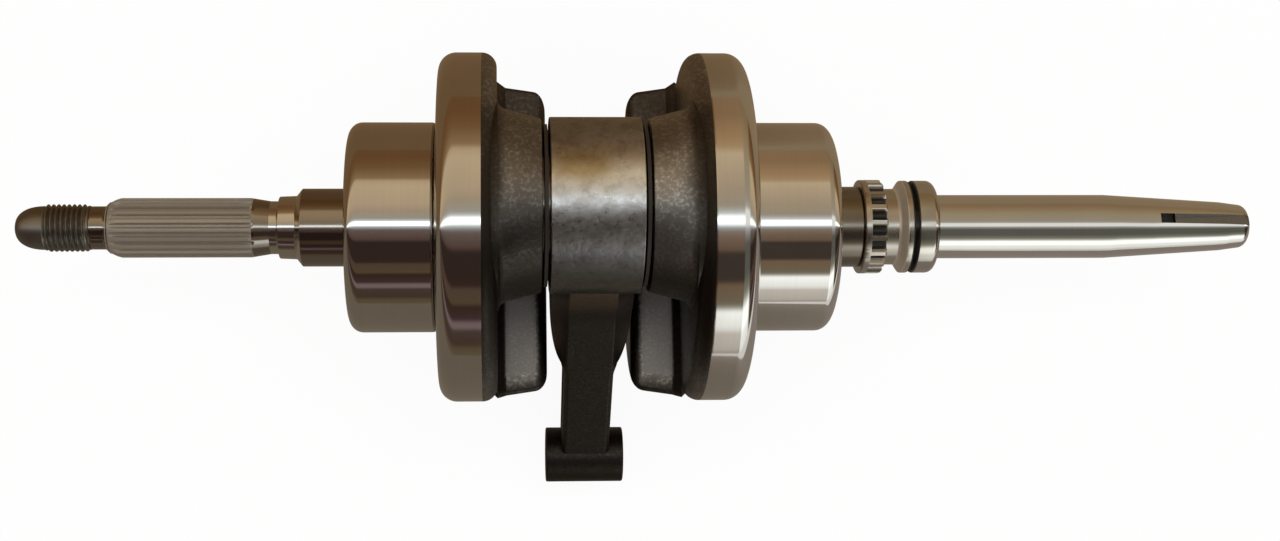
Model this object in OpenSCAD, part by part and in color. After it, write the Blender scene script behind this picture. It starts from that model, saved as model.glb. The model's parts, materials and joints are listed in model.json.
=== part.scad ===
// Pressed-up crankshaft of a small single-cylinder scooter engine, with its connecting rod,
// both main bearings, the timing sprocket and the seal collar, as it comes off the bench.
// X runs along the crank axis, from the belt-drive end to the flywheel end. Z is up.
// The origin is on the crank axis, at the middle of the left main bearing.
// Lengths along the crank are counted outwards from the middle plane of the connecting rod.

/* [Crank webs] */
// Distance from the crank axis to the crankpin axis, half of the stroke
crank_throw = 26.5; // [25:0.5:28]
// Turn of the crankpin from straight up towards +Y, in degrees
pin_turn = 12; // [0:1:25]
// Outer radius of both round webs
web_r = 51.5; // [49:0.5:56]
// Distance from the middle plane to the outer face of each web
web_face = 44.5; // [42:0.1:48]
// Width of the ground rim of each web
rim_w = 12.6; // [9:0.1:14]
// Depth of the forged round edge between the rim and the web's inner face
web_edge_round = 4.4; // [2:0.1:6]
// Round on the outer edge of each rim
rim_round = 5.2; // [1:0.1:6.5]
// Radius of the crankpin boss where it meets the web
boss_root_r = 27.7; // [26:0.1:30]
// Radius of the crankpin boss at its inner face
boss_r = 24.5; // [22:0.1:26]
// Distance from the middle plane to the inner face of each crankpin boss
boss_face = 15.1; // [14.8:0.1:18]
// Width of the step between each web and its main bearing
abutment_w = 0.9; // [0.5:0.1:3]
// Radius of the step that each main bearing sits against
abutment_r = 16; // [14:0.5:17]

/* [Counterweights] */
// Distance from the middle plane to the inner face of each counterweight
weight_face = 12.6; // [12.5:0.1:15]
// How far the rim of each counterweight lies inside the web's rim, at its inner face
weight_inset = 2.6; // [2.2:0.1:8]
// How far it lies inside the web's rim where it meets the web
weight_root_inset = 0.5; // [0.3:0.1:4]
// Distance from the crank axis down to the flat top of each counterweight
weight_drop = 14; // [8:0.5:22]
// Round on the inner edges of each counterweight
weight_round = 3.6; // [1:0.1:5]

/* [Crankpin and big end] */
// Radius of the crankpin
pin_r = 14; // [11:0.5:15]
// Gap between the crankpin's ends and the outer faces of the webs
pin_recess = 0.6; // [0.2:0.1:3]
// Radius of the oil way bored through the crankpin
pin_oil_r = 4.5; // [3:0.5:6]
// Thickness of the plug in each end of the crankpin
pin_plug_w = 3; // [2:0.5:5]
// Radius of the drilling that feeds oil to the big-end rollers
pin_drill_r = 1.25; // [0.8:0.05:2]
// Radius of one big-end roller
roller_r = 2; // [1.5:0.1:2.5]
// Length of one big-end roller
roller_len = 16; // [12:0.5:18]
// Number of big-end rollers
roller_count = 16; // [12:1:18]
// Radial play between the rollers and the parts that they roll on
roller_play = 0.02; // [0.01:0.01:0.05]
// Radial thickness of the big-end cage
cage_wall = 1.8; // [1.4:0.1:2.4]
// Length of the big-end cage
cage_len = 21; // [19.5:0.5:24]
// Play round a roller or a ball in its cage pocket
pocket_play = 0.15; // [0.1:0.05:0.4]

/* [Connecting rod] */
// Distance between the big-end and small-end axes
rod_len = 103.5; // [98:0.5:115]
// Outer radius of the big end
big_end_r = 25; // [23.5:0.1:26]
// Width of the big end
big_end_w = 25.8; // [25:0.1:26.2]
// Outer radius of the small end
small_end_r = 8.65; // [8:0.05:12]
// Width of the small end
small_end_w = 24.4; // [16:0.1:24.8]
// Radius of the hole for the piston pin
piston_pin_r = 6.5; // [5.5:0.25:6.75]
// Thickness of the rod's shank along the crank axis
shank_t = 15; // [12:0.5:18]
// Depth of the shank in the plane of its swing, near the big end
shank_d_big = 17; // [14:0.5:22]
// Depth of the shank in the plane of its swing, near the small end
shank_d_small = 12.6; // [10:0.2:14]
// Depth of the recess in each side of the shank
shank_recess = 3.4; // [1:0.2:4.5]
// Distance from the big-end axis at which the flare down to the shank ends
flare_end = 56; // [48:1:64]
// Side play between each thrust washer and its neighbours
washer_play = 0.6; // [0.3:0.1:0.65]
// Outer radius of the thrust washers
washer_r = 23; // [20:0.5:24]

/* [Main bearings] */
// Outer diameter of each main bearing
bearing_od = 62; // [60:0.5:66]
// Bore diameter of each main bearing, and of its seat on the crank
bearing_bore = 25; // [24.4:0.1:26]
// Width of each main bearing
bearing_w = 25.4; // [22:0.2:27]
// Round on the outer edge of each main bearing that faces away from the web
bearing_round = 4; // [1:0.1:5]
// Round on the other outer edge of each main bearing
bearing_inner_round = 1; // [0.5:0.1:2]
// Radius of one bearing ball
ball_r = 4.5; // [4:0.1:4.7]
// Number of balls in one row
ball_count = 12; // [8:1:12]
// Distance from the middle of the bearing to each row of balls
row_offset = 6.1; // [5.6:0.1:6.3]
// Play between the balls and the race grooves
race_play = 0.05; // [0.02:0.01:0.1]
// Depth of the race grooves
race_depth = 1.1; // [0.6:0.1:1.4]
// Radial thickness of the ball cages
ball_cage_wall = 2.8; // [1.6:0.1:3.4]
// Width of one ball cage
ball_cage_w = 10.4; // [10:0.1:10.8]

/* [Belt-drive end] */
// Diameter of the shoulder next to the left main bearing
shoulder_d = 23; // [20:0.1:24]
// Length of that shoulder
shoulder_len = 13.8; // [8:0.1:20]
// Length of the cone between the shoulder and the collar land
land_cone_len = 1.7; // [1:0.1:4]
// Diameter of the land for the drive pulley's collar
land_d = 18.3; // [17.6:0.1:19.5]
// Length of that land
land_len = 5; // [3:0.1:9]
// Diameter of the relief between the land and the spline
relief_d = 15.6; // [14.5:0.1:16.2]
// Length of the relief
relief_len = 2.6; // [1.5:0.1:5]
// Outer diameter of the spline
spline_d = 17.5; // [17:0.1:18.5]
// Length of the slope at the inner end of the spline
spline_runout = 5.8; // [3:0.1:8]
// Length of the spline
spline_len = 37.5; // [28:0.5:45]
// Number of teeth on the spline
spline_teeth = 20; // [16:1:24]
// Depth of the spaces between the spline's teeth
spline_depth = 1; // [0.6:0.05:1.2]
// Length of the chamfer at the outer end of the spline
spline_chamfer_len = 4; // [1:0.1:5]
// Diameter of the neck between the spline and the thread
neck_d = 12.7; // [11:0.1:13.4]
// Length of that neck
neck_len = 5; // [2:0.1:8]
// Outer diameter of the thread for the drive nut
thread_d = 14; // [13.8:0.1:15]
// Pitch of that thread
thread_pitch = 1.5; // [1:0.25:2]
// Length of the full thread
thread_len = 13.5; // [9:0.5:18]
// Length of the domed nose beyond the thread
nose_len = 8.4; // [7.5:0.1:10]

/* [Flywheel end] */
// Diameter of the shaft between the right main bearing and the sprocket
hub_d = 24; // [22:0.1:24.4]
// Length of the shaft between the right main bearing and the sprocket
hub_len = 9.4; // [6:0.1:14]
// Diameter of the seat of the sprocket and the collar
seat_d = 20; // [19.4:0.1:21.4]
// Diameter of the long shaft for the starter clutch and the flywheel
shaft_d = 19; // [18.4:0.1:19.2]
// Length of that shaft
shaft_len = 52.2; // [40:0.2:65]
// Length of the taper for the flywheel
taper_len = 35.6; // [28:0.2:42]
// Length over which the taper loses one millimetre of diameter
taper_ratio = 8; // [7.5:0.5:10]
// Length of the blunt nose beyond the taper
tail_len = 8; // [5:0.1:10]
// Diameter of the end face of the nose, before its round
tail_d = 12.4; // [11.8:0.1:13]
// Round on the edge of the end face
tail_round = 2.6; // [0.5:0.1:2.7]
// Radius of the tapped hole for the flywheel bolt
bolt_hole_r = 3.4; // [2.5:0.1:3.6]
// Depth of that hole
bolt_hole_len = 24; // [16:1:34]
// Width of the keyway in the taper
key_w = 3; // [2.5:0.1:4]
// Distance from the crank axis to the floor of the keyway
key_floor_r = 6.2; // [5.8:0.1:6.6]
// Length of the keyway, from the shaft's end
keyway_len = 28.4; // [20:0.1:32]
// Length of the deep pocket at the keyway's inner end
pocket_len = 5.2; // [3:0.1:8]
// Depth of that pocket below the keyway's floor
pocket_depth = 1.6; // [0.5:0.1:2]
// Turn of the keyway from the crankpin's side, in degrees
key_turn = 4; // [-30:1:30]

/* [Sprocket and collar] */
// Outer diameter of the timing sprocket
sprocket_d = 28; // [26.5:0.1:30]
// Diameter at the bottom of the tooth spaces
sprocket_root_d = 23.4; // [22.8:0.1:24.4]
// Number of teeth on the timing sprocket
sprocket_teeth = 18; // [15:1:20]
// Radius at the bottom of each tooth space
tooth_space_r = 1.1; // [0.8:0.05:1.3]
// Turn of the first tooth space from the crankpin's side, in degrees
sprocket_turn = 2; // [-10:0.5:10]
// Width of the toothed band
tooth_w = 4.7; // [3:0.1:7]
// Width of the plain flange beside the teeth
flange_w = 1.9; // [1:0.1:3]
// Diameter of the sprocket's neck
neck_ring_d = 22.7; // [21.8:0.1:23.4]
// Length of the neck, with its cone
neck_ring_len = 6; // [3:0.1:9]
// Length of the cone at the outer end of the neck
neck_cone_len = 1.6; // [0.5:0.1:2.6]
// Diameter of the end ring of the sprocket, and of the collar
collar_d = 27.6; // [26:0.1:29]
// Width of the end ring of the sprocket
end_ring_w = 2.2; // [1:0.1:4]
// Gap between the sprocket and the collar
collar_gap = 1; // [0.4:0.1:2]
// Width of the collar
collar_w = 6.6; // [4:0.1:9]
// Round on the outer edge of the collar
collar_round = 2.2; // [0.5:0.1:3]

/* [Hidden] */
$fn = 72;
LEFT = -1;
RIGHT = 1;
INBOARD = -1;
OUTBOARD = 1;
overlap = 0.5;               // how far cutting tools run past the faces they cut
// Stations along the crank, counted outwards from the rod's middle plane
web_inner = web_face - rim_w - web_edge_round;
bearing_in = web_face + abutment_w;
bearing_mid = bearing_in + bearing_w / 2;
bearing_out = bearing_in + bearing_w;
middle_x = bearing_mid;      // the rod's middle plane in the part's own frame
weight_r = web_r - weight_inset;
// Left end
shoulder_end = bearing_out + shoulder_len;
land_start = shoulder_end + land_cone_len;
land_end = land_start + land_len;
relief_end = land_end + relief_len;
spline_start = relief_end + spline_runout;
spline_end = spline_start + spline_len;
chamfer_end = spline_end + spline_chamfer_len;
thread_start = chamfer_end + neck_len;
thread_depth = 0.6 * thread_pitch;
thread_turns = floor(thread_len / thread_pitch);
thread_end = thread_start + thread_turns * thread_pitch;
nose_end = thread_end + nose_len;
// Right end
sprocket_start = bearing_out + hub_len;
tooth_start = sprocket_start + flange_w;
tooth_end = tooth_start + tooth_w;
end_ring_start = tooth_end + neck_ring_len;
end_ring_end = end_ring_start + end_ring_w;
collar_start = end_ring_end + collar_gap;
collar_end = collar_start + collar_w;
taper_start = collar_end + shaft_len;
taper_end = taper_start + taper_len;
taper_end_d = shaft_d - taper_len / taper_ratio;
tail_end = taper_end + tail_len;
// Big end: the rollers run between the crankpin and the rod
roller_orbit = pin_r + roller_r + roller_play;
big_bore_r = roller_orbit + roller_r + roller_play;
pin_end = web_face - pin_recess;
washer_t = boss_face - big_end_w / 2 - 2 * washer_play;
// Ball bearings: both rings share what the balls leave
ball_orbit = (bearing_bore + bearing_od) / 4;
race_r = ball_r + race_play;
race_wall = race_r - race_depth;
// The rod leans until its small end rests on the level that the webs stand on
pin_y = crank_throw * sin(pin_turn);
pin_z = crank_throw * cos(pin_turn);
rod_turn = acos((pin_z + web_r - small_end_r) / rod_len);

// Turns a shape built along Z so that it lies along X
module along_x() { rotate([0, 90, 0]) children(); }

// Places what is built outwards from the rod's middle plane on one side of it
module on_side(side) { translate([middle_x, 0, 0]) scale_side(side) children(); }
module scale_side(side) { if (side == LEFT) mirror([1, 0, 0]) children(); else children(); }

// The frame in which the crankpin is straight up
module crank_frame(side = RIGHT) { on_side(side) rotate([-pin_turn, 0, 0]) children(); }

// Half section of a round bar: radius along X, length along Y, with rounds on its two corners
module bar_2d(r, from, to, round_from = 0, round_to = 0) {
    difference() {
        translate([0, from]) square([r, to - from]);
        if (round_to > 0) translate([r - round_to, to - round_to]) corner_2d(round_to);
        if (round_from > 0) translate([r - round_from, from + round_from]) mirror([0, 1]) corner_2d(round_from);
    }
}

// What a round takes away from a square corner
module corner_2d(r) {
    difference() {
        square(r + overlap);
        circle(r);
    }
}

// Half section of a cone
module cone_2d(r_from, r_to, from, to) {
    polygon([[0, from], [r_from, from], [r_to, to], [0, to]]);
}

// A round bar between two stations
module bar(r, from, to) {
    along_x() translate([0, 0, from]) cylinder(r = r, h = to - from);
}

// A ring between two radii and two stations
module tube(r_in, r_out, from, to) {
    along_x() translate([0, 0, from]) difference() {
        cylinder(r = r_out, h = to - from);
        translate([0, 0, -overlap]) cylinder(r = r_in, h = to - from + 2 * overlap);
    }
}

// Crank web with its ground rim, forged inner edge, crankpin boss and counterweight
module web() {
    along_x() rotate_extrude() {
        bar_2d(web_r, web_inner, web_face, web_edge_round, rim_round);
        bar_2d(abutment_r, web_face - overlap, bearing_in);
    }
    boss();
    counterweight();
}

// Drafted boss round the crankpin, kept inside the web's own circle
module boss() {
    reach = web_inner + overlap;
    intersection() {
        translate([0, 0, crank_throw]) along_x() translate([0, 0, boss_face])
            cylinder(r1 = boss_r, r2 = boss_root_r, h = reach - boss_face);
        bar(web_r, boss_face, reach);
    }
}

// Sector of a drafted disc below the flat, with round inner edges
module counterweight() {
    reach = web_inner + overlap;
    difference() {
        along_x() rotate_extrude() {
            bar_2d(weight_r, weight_face, weight_face + 2 * weight_round, weight_round, 0);
            cone_2d(weight_r, web_r - weight_root_inset, weight_face + weight_round, reach);
        }
        translate([0, -web_r, -weight_drop]) cube([reach + overlap, 2 * web_r, 2 * web_r]);
        translate([weight_face + weight_round, web_r, -weight_drop - weight_round])
            rotate([90, 0, 0]) linear_extrude(2 * web_r) mirror([1, 0]) corner_2d(weight_round);
    }
}

// The bore that the crankpin is pressed into
module crankpin_bore() {
    translate([0, 0, crank_throw]) along_x() translate([0, 0, boss_face - overlap])
        cylinder(r = pin_r, h = web_face - boss_face + overlap);
}

// Shaft of the belt-drive end, from the bearing seat to the nose
module drive_shaft() {
    along_x() rotate_extrude() {
        bar_2d(bearing_bore / 2, web_face, bearing_out);
        bar_2d(shoulder_d / 2, bearing_out - overlap, shoulder_end);
        cone_2d(shoulder_d / 2, land_d / 2, shoulder_end, land_start);
        bar_2d(land_d / 2, land_start - overlap, land_end);
        bar_2d(relief_d / 2, land_end - overlap, relief_end);
        cone_2d(relief_d / 2, spline_d / 2, relief_end, spline_start);
        bar_2d(spline_d / 2, spline_start - overlap, spline_end);
        cone_2d(spline_d / 2, thread_d / 2, spline_end, chamfer_end);
        bar_2d(neck_d / 2, chamfer_end - overlap, thread_start);
        thread_2d();
        nose_2d();
    }
}

// Half section of the thread, as a row of V-shaped ridges
module thread_2d() {
    root = thread_d / 2 - thread_depth;
    ridges = [for (i = [0:thread_turns - 1]) each [
        [root, thread_start + i * thread_pitch],
        [thread_d / 2, thread_start + (i + 0.5) * thread_pitch]]];
    polygon(concat([[0, thread_start - overlap], [root, thread_start - overlap]], ridges,
        [[root, thread_end], [0, thread_end]]));
}

// Half section of the domed nose
module nose_2d() {
    dome_r = thread_d / 2 - thread_depth / 2;
    bar_2d(dome_r, thread_end - overlap, nose_end, 0, dome_r - overlap);
}

// The spaces between the teeth of the spline
module spline_spaces() {
    floor_r = spline_d / 2 - spline_depth;
    pitch_w = PI * spline_d / spline_teeth;
    top_w = 0.62 * pitch_w;
    floor_w = 0.34 * pitch_w;
    space = [[floor_r, -floor_w / 2], [spline_d / 2 + overlap, -top_w / 2 - overlap / 4],
        [spline_d / 2 + overlap, top_w / 2 + overlap / 4], [floor_r, floor_w / 2]];
    for (i = [0:spline_teeth - 1]) rotate([(i + 0.5) * 360 / spline_teeth, 0, 0])
        along_x() translate([0, 0, relief_end]) linear_extrude(chamfer_end - relief_end) polygon(space);
}

// Shaft of the flywheel end, from the bearing seat to the blunt nose
module flywheel_shaft() {
    along_x() rotate_extrude() {
        bar_2d(bearing_bore / 2, web_face, bearing_out);
        bar_2d(hub_d / 2, bearing_out - overlap, sprocket_start);
        bar_2d(seat_d / 2, sprocket_start - overlap, collar_end);
        bar_2d(shaft_d / 2, collar_end - overlap, taper_start);
        cone_2d(shaft_d / 2, taper_end_d / 2, taper_start, taper_end);
        intersection() {
            cone_2d(taper_end_d / 2, tail_d / 2, taper_end, tail_end);
            bar_2d(tail_d / 2 + tail_len / taper_ratio, taper_end, tail_end, 0, tail_round);
        }
    }
}

// Key slot from the end of the taper, with its deep pocket at the inner end
module keyway() {
    rotate([-key_turn, 0, 0]) {
        translate([tail_end - keyway_len, -key_w / 2, key_floor_r])
            cube([keyway_len + overlap, key_w, shaft_d / 2]);
        translate([tail_end - keyway_len, -key_w / 2, key_floor_r - pocket_depth])
            cube([pocket_len, key_w, shaft_d / 2]);
    }
}

module bolt_hole() {
    along_x() translate([0, 0, tail_end - bolt_hole_len]) cylinder(r = bolt_hole_r, h = bolt_hole_len + overlap);
}

module left_crank_half() {
    color("#6e6358") crank_frame(LEFT) difference() {
        union() {
            web();
            drive_shaft();
        }
        crankpin_bore();
        spline_spaces();
    }
}

module right_crank_half() {
    color("#75695c") crank_frame(RIGHT) difference() {
        union() {
            web();
            flywheel_shaft();
        }
        crankpin_bore();
        keyway();
        bolt_hole();
    }
}

// Hollow crankpin, with a drilling out to the rollers
module crankpin() {
    color("#b5b0a8") crank_frame() translate([0, 0, crank_throw]) difference() {
        tube(pin_oil_r, pin_r, -pin_end, pin_end);
        cylinder(r = pin_drill_r, h = pin_r + overlap);
    }
}

module crankpin_plugs() {
    color("#8d8a86") for (side = [LEFT, RIGHT]) crank_frame(side) translate([0, 0, crank_throw])
        bar(pin_oil_r, pin_end - pin_plug_w, pin_end);
}

// The frame of the rod: the big-end axis is at the origin and the rod hangs along -Z
module rod_frame() {
    translate([middle_x, pin_y, pin_z]) rotate([-rod_turn, 0, 0]) children();
}

// Side view of the rod between its two ends, as an outline of height over depth
module shank_side_2d(d_big, d_small, from, to) {
    polygon([[-d_big / 2, -from], [d_big / 2, -from], [d_small / 2, -to], [-d_small / 2, -to]]);
}

// Front view of the shank: it flares out towards the big end
module shank_front_2d() {
    flare_w = big_end_w - 2;
    polygon([[-shank_t / 2, -rod_len], [shank_t / 2, -rod_len], [shank_t / 2, -flare_end],
        [flare_w / 2, -big_end_r - 4], [flare_w / 2, 0], [-flare_w / 2, 0],
        [-flare_w / 2, -big_end_r - 4], [-shank_t / 2, -flare_end]]);
}

module shank() {
    difference() {
        intersection() {
            rotate([90, 0, 90]) translate([0, 0, -big_end_w / 2]) linear_extrude(big_end_w)
                shank_side_2d(shank_d_big + 6, shank_d_small, 0, rod_len);
            rotate([90, 0, 0]) translate([0, 0, -big_end_r]) linear_extrude(2 * big_end_r) shank_front_2d();
        }
        for (side = [LEFT, RIGHT]) scale_side(side) rotate([90, 0, 90])
            translate([0, 0, shank_t / 2 - shank_recess]) linear_extrude(big_end_w)
            shank_side_2d(shank_d_big - 8, shank_d_small - 6, flare_end, rod_len - small_end_r - 3);
    }
}

module connecting_rod() {
    color("#4c4742") rod_frame() difference() {
        union() {
            bar(big_end_r, -big_end_w / 2, big_end_w / 2);
            translate([0, 0, -rod_len]) bar(small_end_r, -small_end_w / 2, small_end_w / 2);
            shank();
        }
        bar(big_bore_r, -big_end_w, big_end_w);
        translate([0, 0, -rod_len]) bar(piston_pin_r, -big_end_w, big_end_w);
    }
}

// One set of rollers or of the pockets that hold them, grown by a play
module roller_set(play = 0) {
    for (i = [0:roller_count - 1]) rotate([i * 360 / roller_count, 0, 0]) translate([0, 0, roller_orbit])
        bar(roller_r + play, -roller_len / 2 - play, roller_len / 2 + play);
}

module big_end_rollers() { color("#c9c6c0") rod_frame() roller_set(); }

module big_end_cage() {
    color("#9a958c") rod_frame() difference() {
        tube(roller_orbit - cage_wall / 2, roller_orbit + cage_wall / 2, -cage_len / 2, cage_len / 2);
        roller_set(pocket_play);
    }
}

module thrust_washer(side) {
    color("#a8916a") crank_frame(side) translate([0, 0, crank_throw])
        tube(pin_r, washer_r, boss_face - washer_play - washer_t, boss_face - washer_play);
}

module left_thrust_washer() { thrust_washer(LEFT); }

module right_thrust_washer() { thrust_washer(RIGHT); }

// Half sections of the two race grooves
module grooves_2d() {
    for (row = [INBOARD, OUTBOARD]) translate([ball_orbit, bearing_mid + row * row_offset]) circle(race_r);
}

module bearing_outer_ring(side) {
    color("#b9aa98") on_side(side) along_x() rotate_extrude() difference() {
        bar_2d(bearing_od / 2, bearing_in, bearing_out, bearing_inner_round, bearing_round);
        translate([0, bearing_in - overlap]) square([ball_orbit + race_wall, bearing_w + 2 * overlap]);
        grooves_2d();
    }
}

module bearing_inner_ring(side) {
    color("#b9aa98") on_side(side) along_x() rotate_extrude() difference() {
        translate([bearing_bore / 2, bearing_in]) square([ball_orbit - race_wall - bearing_bore / 2, bearing_w]);
        grooves_2d();
    }
}

// One row of balls or of the pockets that hold them, grown by a play
module ball_row(row, play = 0) {
    for (i = [0:ball_count - 1]) rotate([(i + row / 4) * 360 / ball_count, 0, 0])
        translate([bearing_mid + row * row_offset, 0, ball_orbit]) sphere(ball_r + play);
}

module bearing_balls(side, row) { color("#d2d0cc") on_side(side) ball_row(row); }

module bearing_cage(side, row) {
    middle = bearing_mid + row * row_offset;
    color("#a07c46") on_side(side) difference() {
        tube(ball_orbit - ball_cage_wall / 2, ball_orbit + ball_cage_wall / 2,
            middle - ball_cage_w / 2, middle + ball_cage_w / 2);
        ball_row(row, pocket_play);
    }
}

module left_bearing_outer_ring() { bearing_outer_ring(LEFT); }

module left_bearing_inner_ring() { bearing_inner_ring(LEFT); }

module left_bearing_outboard_balls() { bearing_balls(LEFT, OUTBOARD); }

module left_bearing_inboard_balls() { bearing_balls(LEFT, INBOARD); }

module left_bearing_outboard_cage() { bearing_cage(LEFT, OUTBOARD); }

module left_bearing_inboard_cage() { bearing_cage(LEFT, INBOARD); }

module right_bearing_outer_ring() { bearing_outer_ring(RIGHT); }

module right_bearing_inner_ring() { bearing_inner_ring(RIGHT); }

module right_bearing_outboard_balls() { bearing_balls(RIGHT, OUTBOARD); }

module right_bearing_inboard_balls() { bearing_balls(RIGHT, INBOARD); }

module right_bearing_outboard_cage() { bearing_cage(RIGHT, OUTBOARD); }

module right_bearing_inboard_cage() { bearing_cage(RIGHT, INBOARD); }

// The spaces between the sprocket's teeth: a round seat that opens towards the tips
module tooth_spaces() {
    seat = sprocket_root_d / 2 + tooth_space_r;
    for (i = [0:sprocket_teeth - 1]) rotate([i * 360 / sprocket_teeth, 0, 0])
        along_x() translate([0, 0, tooth_start]) linear_extrude(tooth_w) {
            translate([-seat, 0]) circle(tooth_space_r);
            polygon([[-seat, -tooth_space_r], [-seat, tooth_space_r],
                [-sprocket_d / 2 - overlap, 1.5 * tooth_space_r], [-sprocket_d / 2 - overlap, -1.5 * tooth_space_r]]);
        }
}

module timing_sprocket() {
    color("#8a7a66") crank_frame(RIGHT) rotate([-sprocket_turn, 0, 0]) difference() {
        along_x() rotate_extrude() {
            bar_2d(sprocket_d / 2, sprocket_start, tooth_end);
            bar_2d(neck_ring_d / 2, tooth_end - overlap, end_ring_start - neck_cone_len);
            cone_2d(neck_ring_d / 2, collar_d / 2, end_ring_start - neck_cone_len, end_ring_start);
            bar_2d(collar_d / 2, end_ring_start, end_ring_end);
        }
        bar(seat_d / 2, sprocket_start - overlap, end_ring_end + overlap);
        tooth_spaces();
    }
}

module seal_collar() {
    color("#9c8d78") on_side(RIGHT) difference() {
        along_x() rotate_extrude() bar_2d(collar_d / 2, collar_start, collar_end, 0, collar_round);
        bar(seat_d / 2, collar_start - overlap, collar_end + overlap);
    }
}

left_crank_half();
right_crank_half();
crankpin();
crankpin_plugs();
connecting_rod();
big_end_cage();
big_end_rollers();
left_thrust_washer();
right_thrust_washer();
left_bearing_outer_ring();
left_bearing_inner_ring();
left_bearing_outboard_balls();
left_bearing_inboard_balls();
left_bearing_outboard_cage();
left_bearing_inboard_cage();
right_bearing_outer_ring();
right_bearing_inner_ring();
right_bearing_outboard_balls();
right_bearing_inboard_balls();
right_bearing_outboard_cage();
right_bearing_inboard_cage();
timing_sprocket();
seal_collar();
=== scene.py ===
"""Dresses a pressed-up scooter crankshaft: ground webs, forged bosses and counterweights, main bearings,
splined and threaded drive end, timing sprocket, seal collar, tapered flywheel end and connecting rod.

Everything is in metres in the packed model's frame. X runs along the crank axis from the drive end to the
flywheel end and Z is up. Stations are distances along the crank from the rod's middle plane.
"""
import json
import math

import bmesh
import bpy
import numpy as np
from bpy.props import FloatProperty, FloatVectorProperty, IntProperty, PointerProperty
from bpy.types import Operator, Panel, PropertyGroup
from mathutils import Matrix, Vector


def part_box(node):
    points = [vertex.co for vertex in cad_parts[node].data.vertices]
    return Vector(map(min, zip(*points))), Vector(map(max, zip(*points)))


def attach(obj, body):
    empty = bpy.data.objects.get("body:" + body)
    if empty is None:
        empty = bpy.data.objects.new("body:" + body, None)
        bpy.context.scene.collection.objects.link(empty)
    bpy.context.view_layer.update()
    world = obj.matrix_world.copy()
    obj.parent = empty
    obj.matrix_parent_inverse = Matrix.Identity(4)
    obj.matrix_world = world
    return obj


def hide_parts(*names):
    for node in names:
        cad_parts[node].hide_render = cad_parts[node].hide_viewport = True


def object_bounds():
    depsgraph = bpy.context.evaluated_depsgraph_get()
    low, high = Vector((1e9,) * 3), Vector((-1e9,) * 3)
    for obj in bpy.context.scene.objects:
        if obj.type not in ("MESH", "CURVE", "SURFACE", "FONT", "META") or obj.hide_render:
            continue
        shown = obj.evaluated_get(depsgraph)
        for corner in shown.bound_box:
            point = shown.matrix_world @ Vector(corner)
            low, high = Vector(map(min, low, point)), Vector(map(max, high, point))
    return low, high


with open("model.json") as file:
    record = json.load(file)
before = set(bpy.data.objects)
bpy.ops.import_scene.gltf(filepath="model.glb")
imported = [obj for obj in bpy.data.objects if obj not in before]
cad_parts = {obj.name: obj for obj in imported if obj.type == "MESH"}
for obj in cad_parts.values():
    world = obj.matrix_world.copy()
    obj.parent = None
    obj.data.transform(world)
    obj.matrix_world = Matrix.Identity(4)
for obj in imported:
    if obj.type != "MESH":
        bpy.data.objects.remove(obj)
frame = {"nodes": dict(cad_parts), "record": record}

bl_info = {
    "name": "Pressed-up crankshaft",
    "version": (1, 0, 0),
    "blender": (4, 5, 0),
    "location": "View3D > Sidebar > Crankshaft",
    "description": "Builds the surfaces and finishes of a small pressed-up crankshaft round its packed model",
    "category": "Object",
}

LEFT, RIGHT = -1, 1
SIDES = ((LEFT, "left"), (RIGHT, "right"))
TURN = 2 * math.pi
QUARTER = math.pi / 2
WELD = 2e-7                # points closer than this become one
CREASE = math.radians(32)  # edges sharper than this stay sharp
DONE = {"FINISHED"}        # what each operator returns


# ---------------------------------------------------------------- places read from the packed model

def middle_of(node):
    """The middle of a packed node's box."""
    low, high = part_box(node)
    return (low + high) / 2


def mount_at(name):
    """Where a named mount of the packed record lies."""
    return next(m for m in frame["record"]["mounts"] if m["name"] == name)["pos_m"]


PIN = middle_of("crankpin")
THROW = math.hypot(PIN.y, PIN.z)
PIN_TURN = math.atan2(PIN.y, PIN.z)
SMALL_END = mount_at("piston_pin_bore")
ROD_LENGTH = math.dist((PIN.y, PIN.z), (SMALL_END[1], SMALL_END[2]))
ROD_TURN = math.atan2(PIN.y - SMALL_END[1], PIN.z - SMALL_END[2])
WEB_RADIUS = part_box("right_crank_half")[1].z
FLOOR_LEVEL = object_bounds()[0].z


def ends(node, side):
    """A node's inner and outer end, as distances from the rod's middle plane."""
    low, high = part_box(node)
    return sorted((side * (low.x - PIN.x), side * (high.x - PIN.x)))


def radius_of(node):
    """A round node's outer radius, from its box."""
    low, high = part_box(node)
    return (high.z - low.z) / 2


# ---------------------------------------------------------------- surfaces as arrays of points

def smooth(low, high, values):
    """Goes from 0 at low to 1 at high along 3t^2 - 2t^3, where t is the share of the way between them."""
    t = np.clip((np.asarray(values, float) - low) / (high - low), 0, 1)
    return t * t * (3 - 2 * t)


def run(start, *stretches):
    """Values from start on, evenly spaced in each stretch, which is given as (its end, its count)."""
    values = [start]
    for end, count in stretches:
        values.extend(np.linspace(values[-1], end, count)[1:])
    return np.array(values)


def together(*parts):
    """Coordinates spread over each other and stacked into points."""
    return np.stack(np.broadcast_arrays(*parts), -1)


def polar(s, r, angle):
    """Points (s, r sin a, r cos a) about the crank axis."""
    return together(s, r * np.sin(angle), r * np.cos(angle))


def turned(profile, columns=128):
    """A profile of (station, radius) turned about the crank axis."""
    profile = np.asarray(profile, float)
    return polar(profile[:, :1], profile[:, 1:], np.arange(columns) * TURN / columns)


def unit(vectors):
    """The vectors at length 1, and those without length left at 0."""
    return vectors / np.maximum(np.linalg.norm(vectors, axis=-1, keepdims=True), 1e-12)


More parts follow.
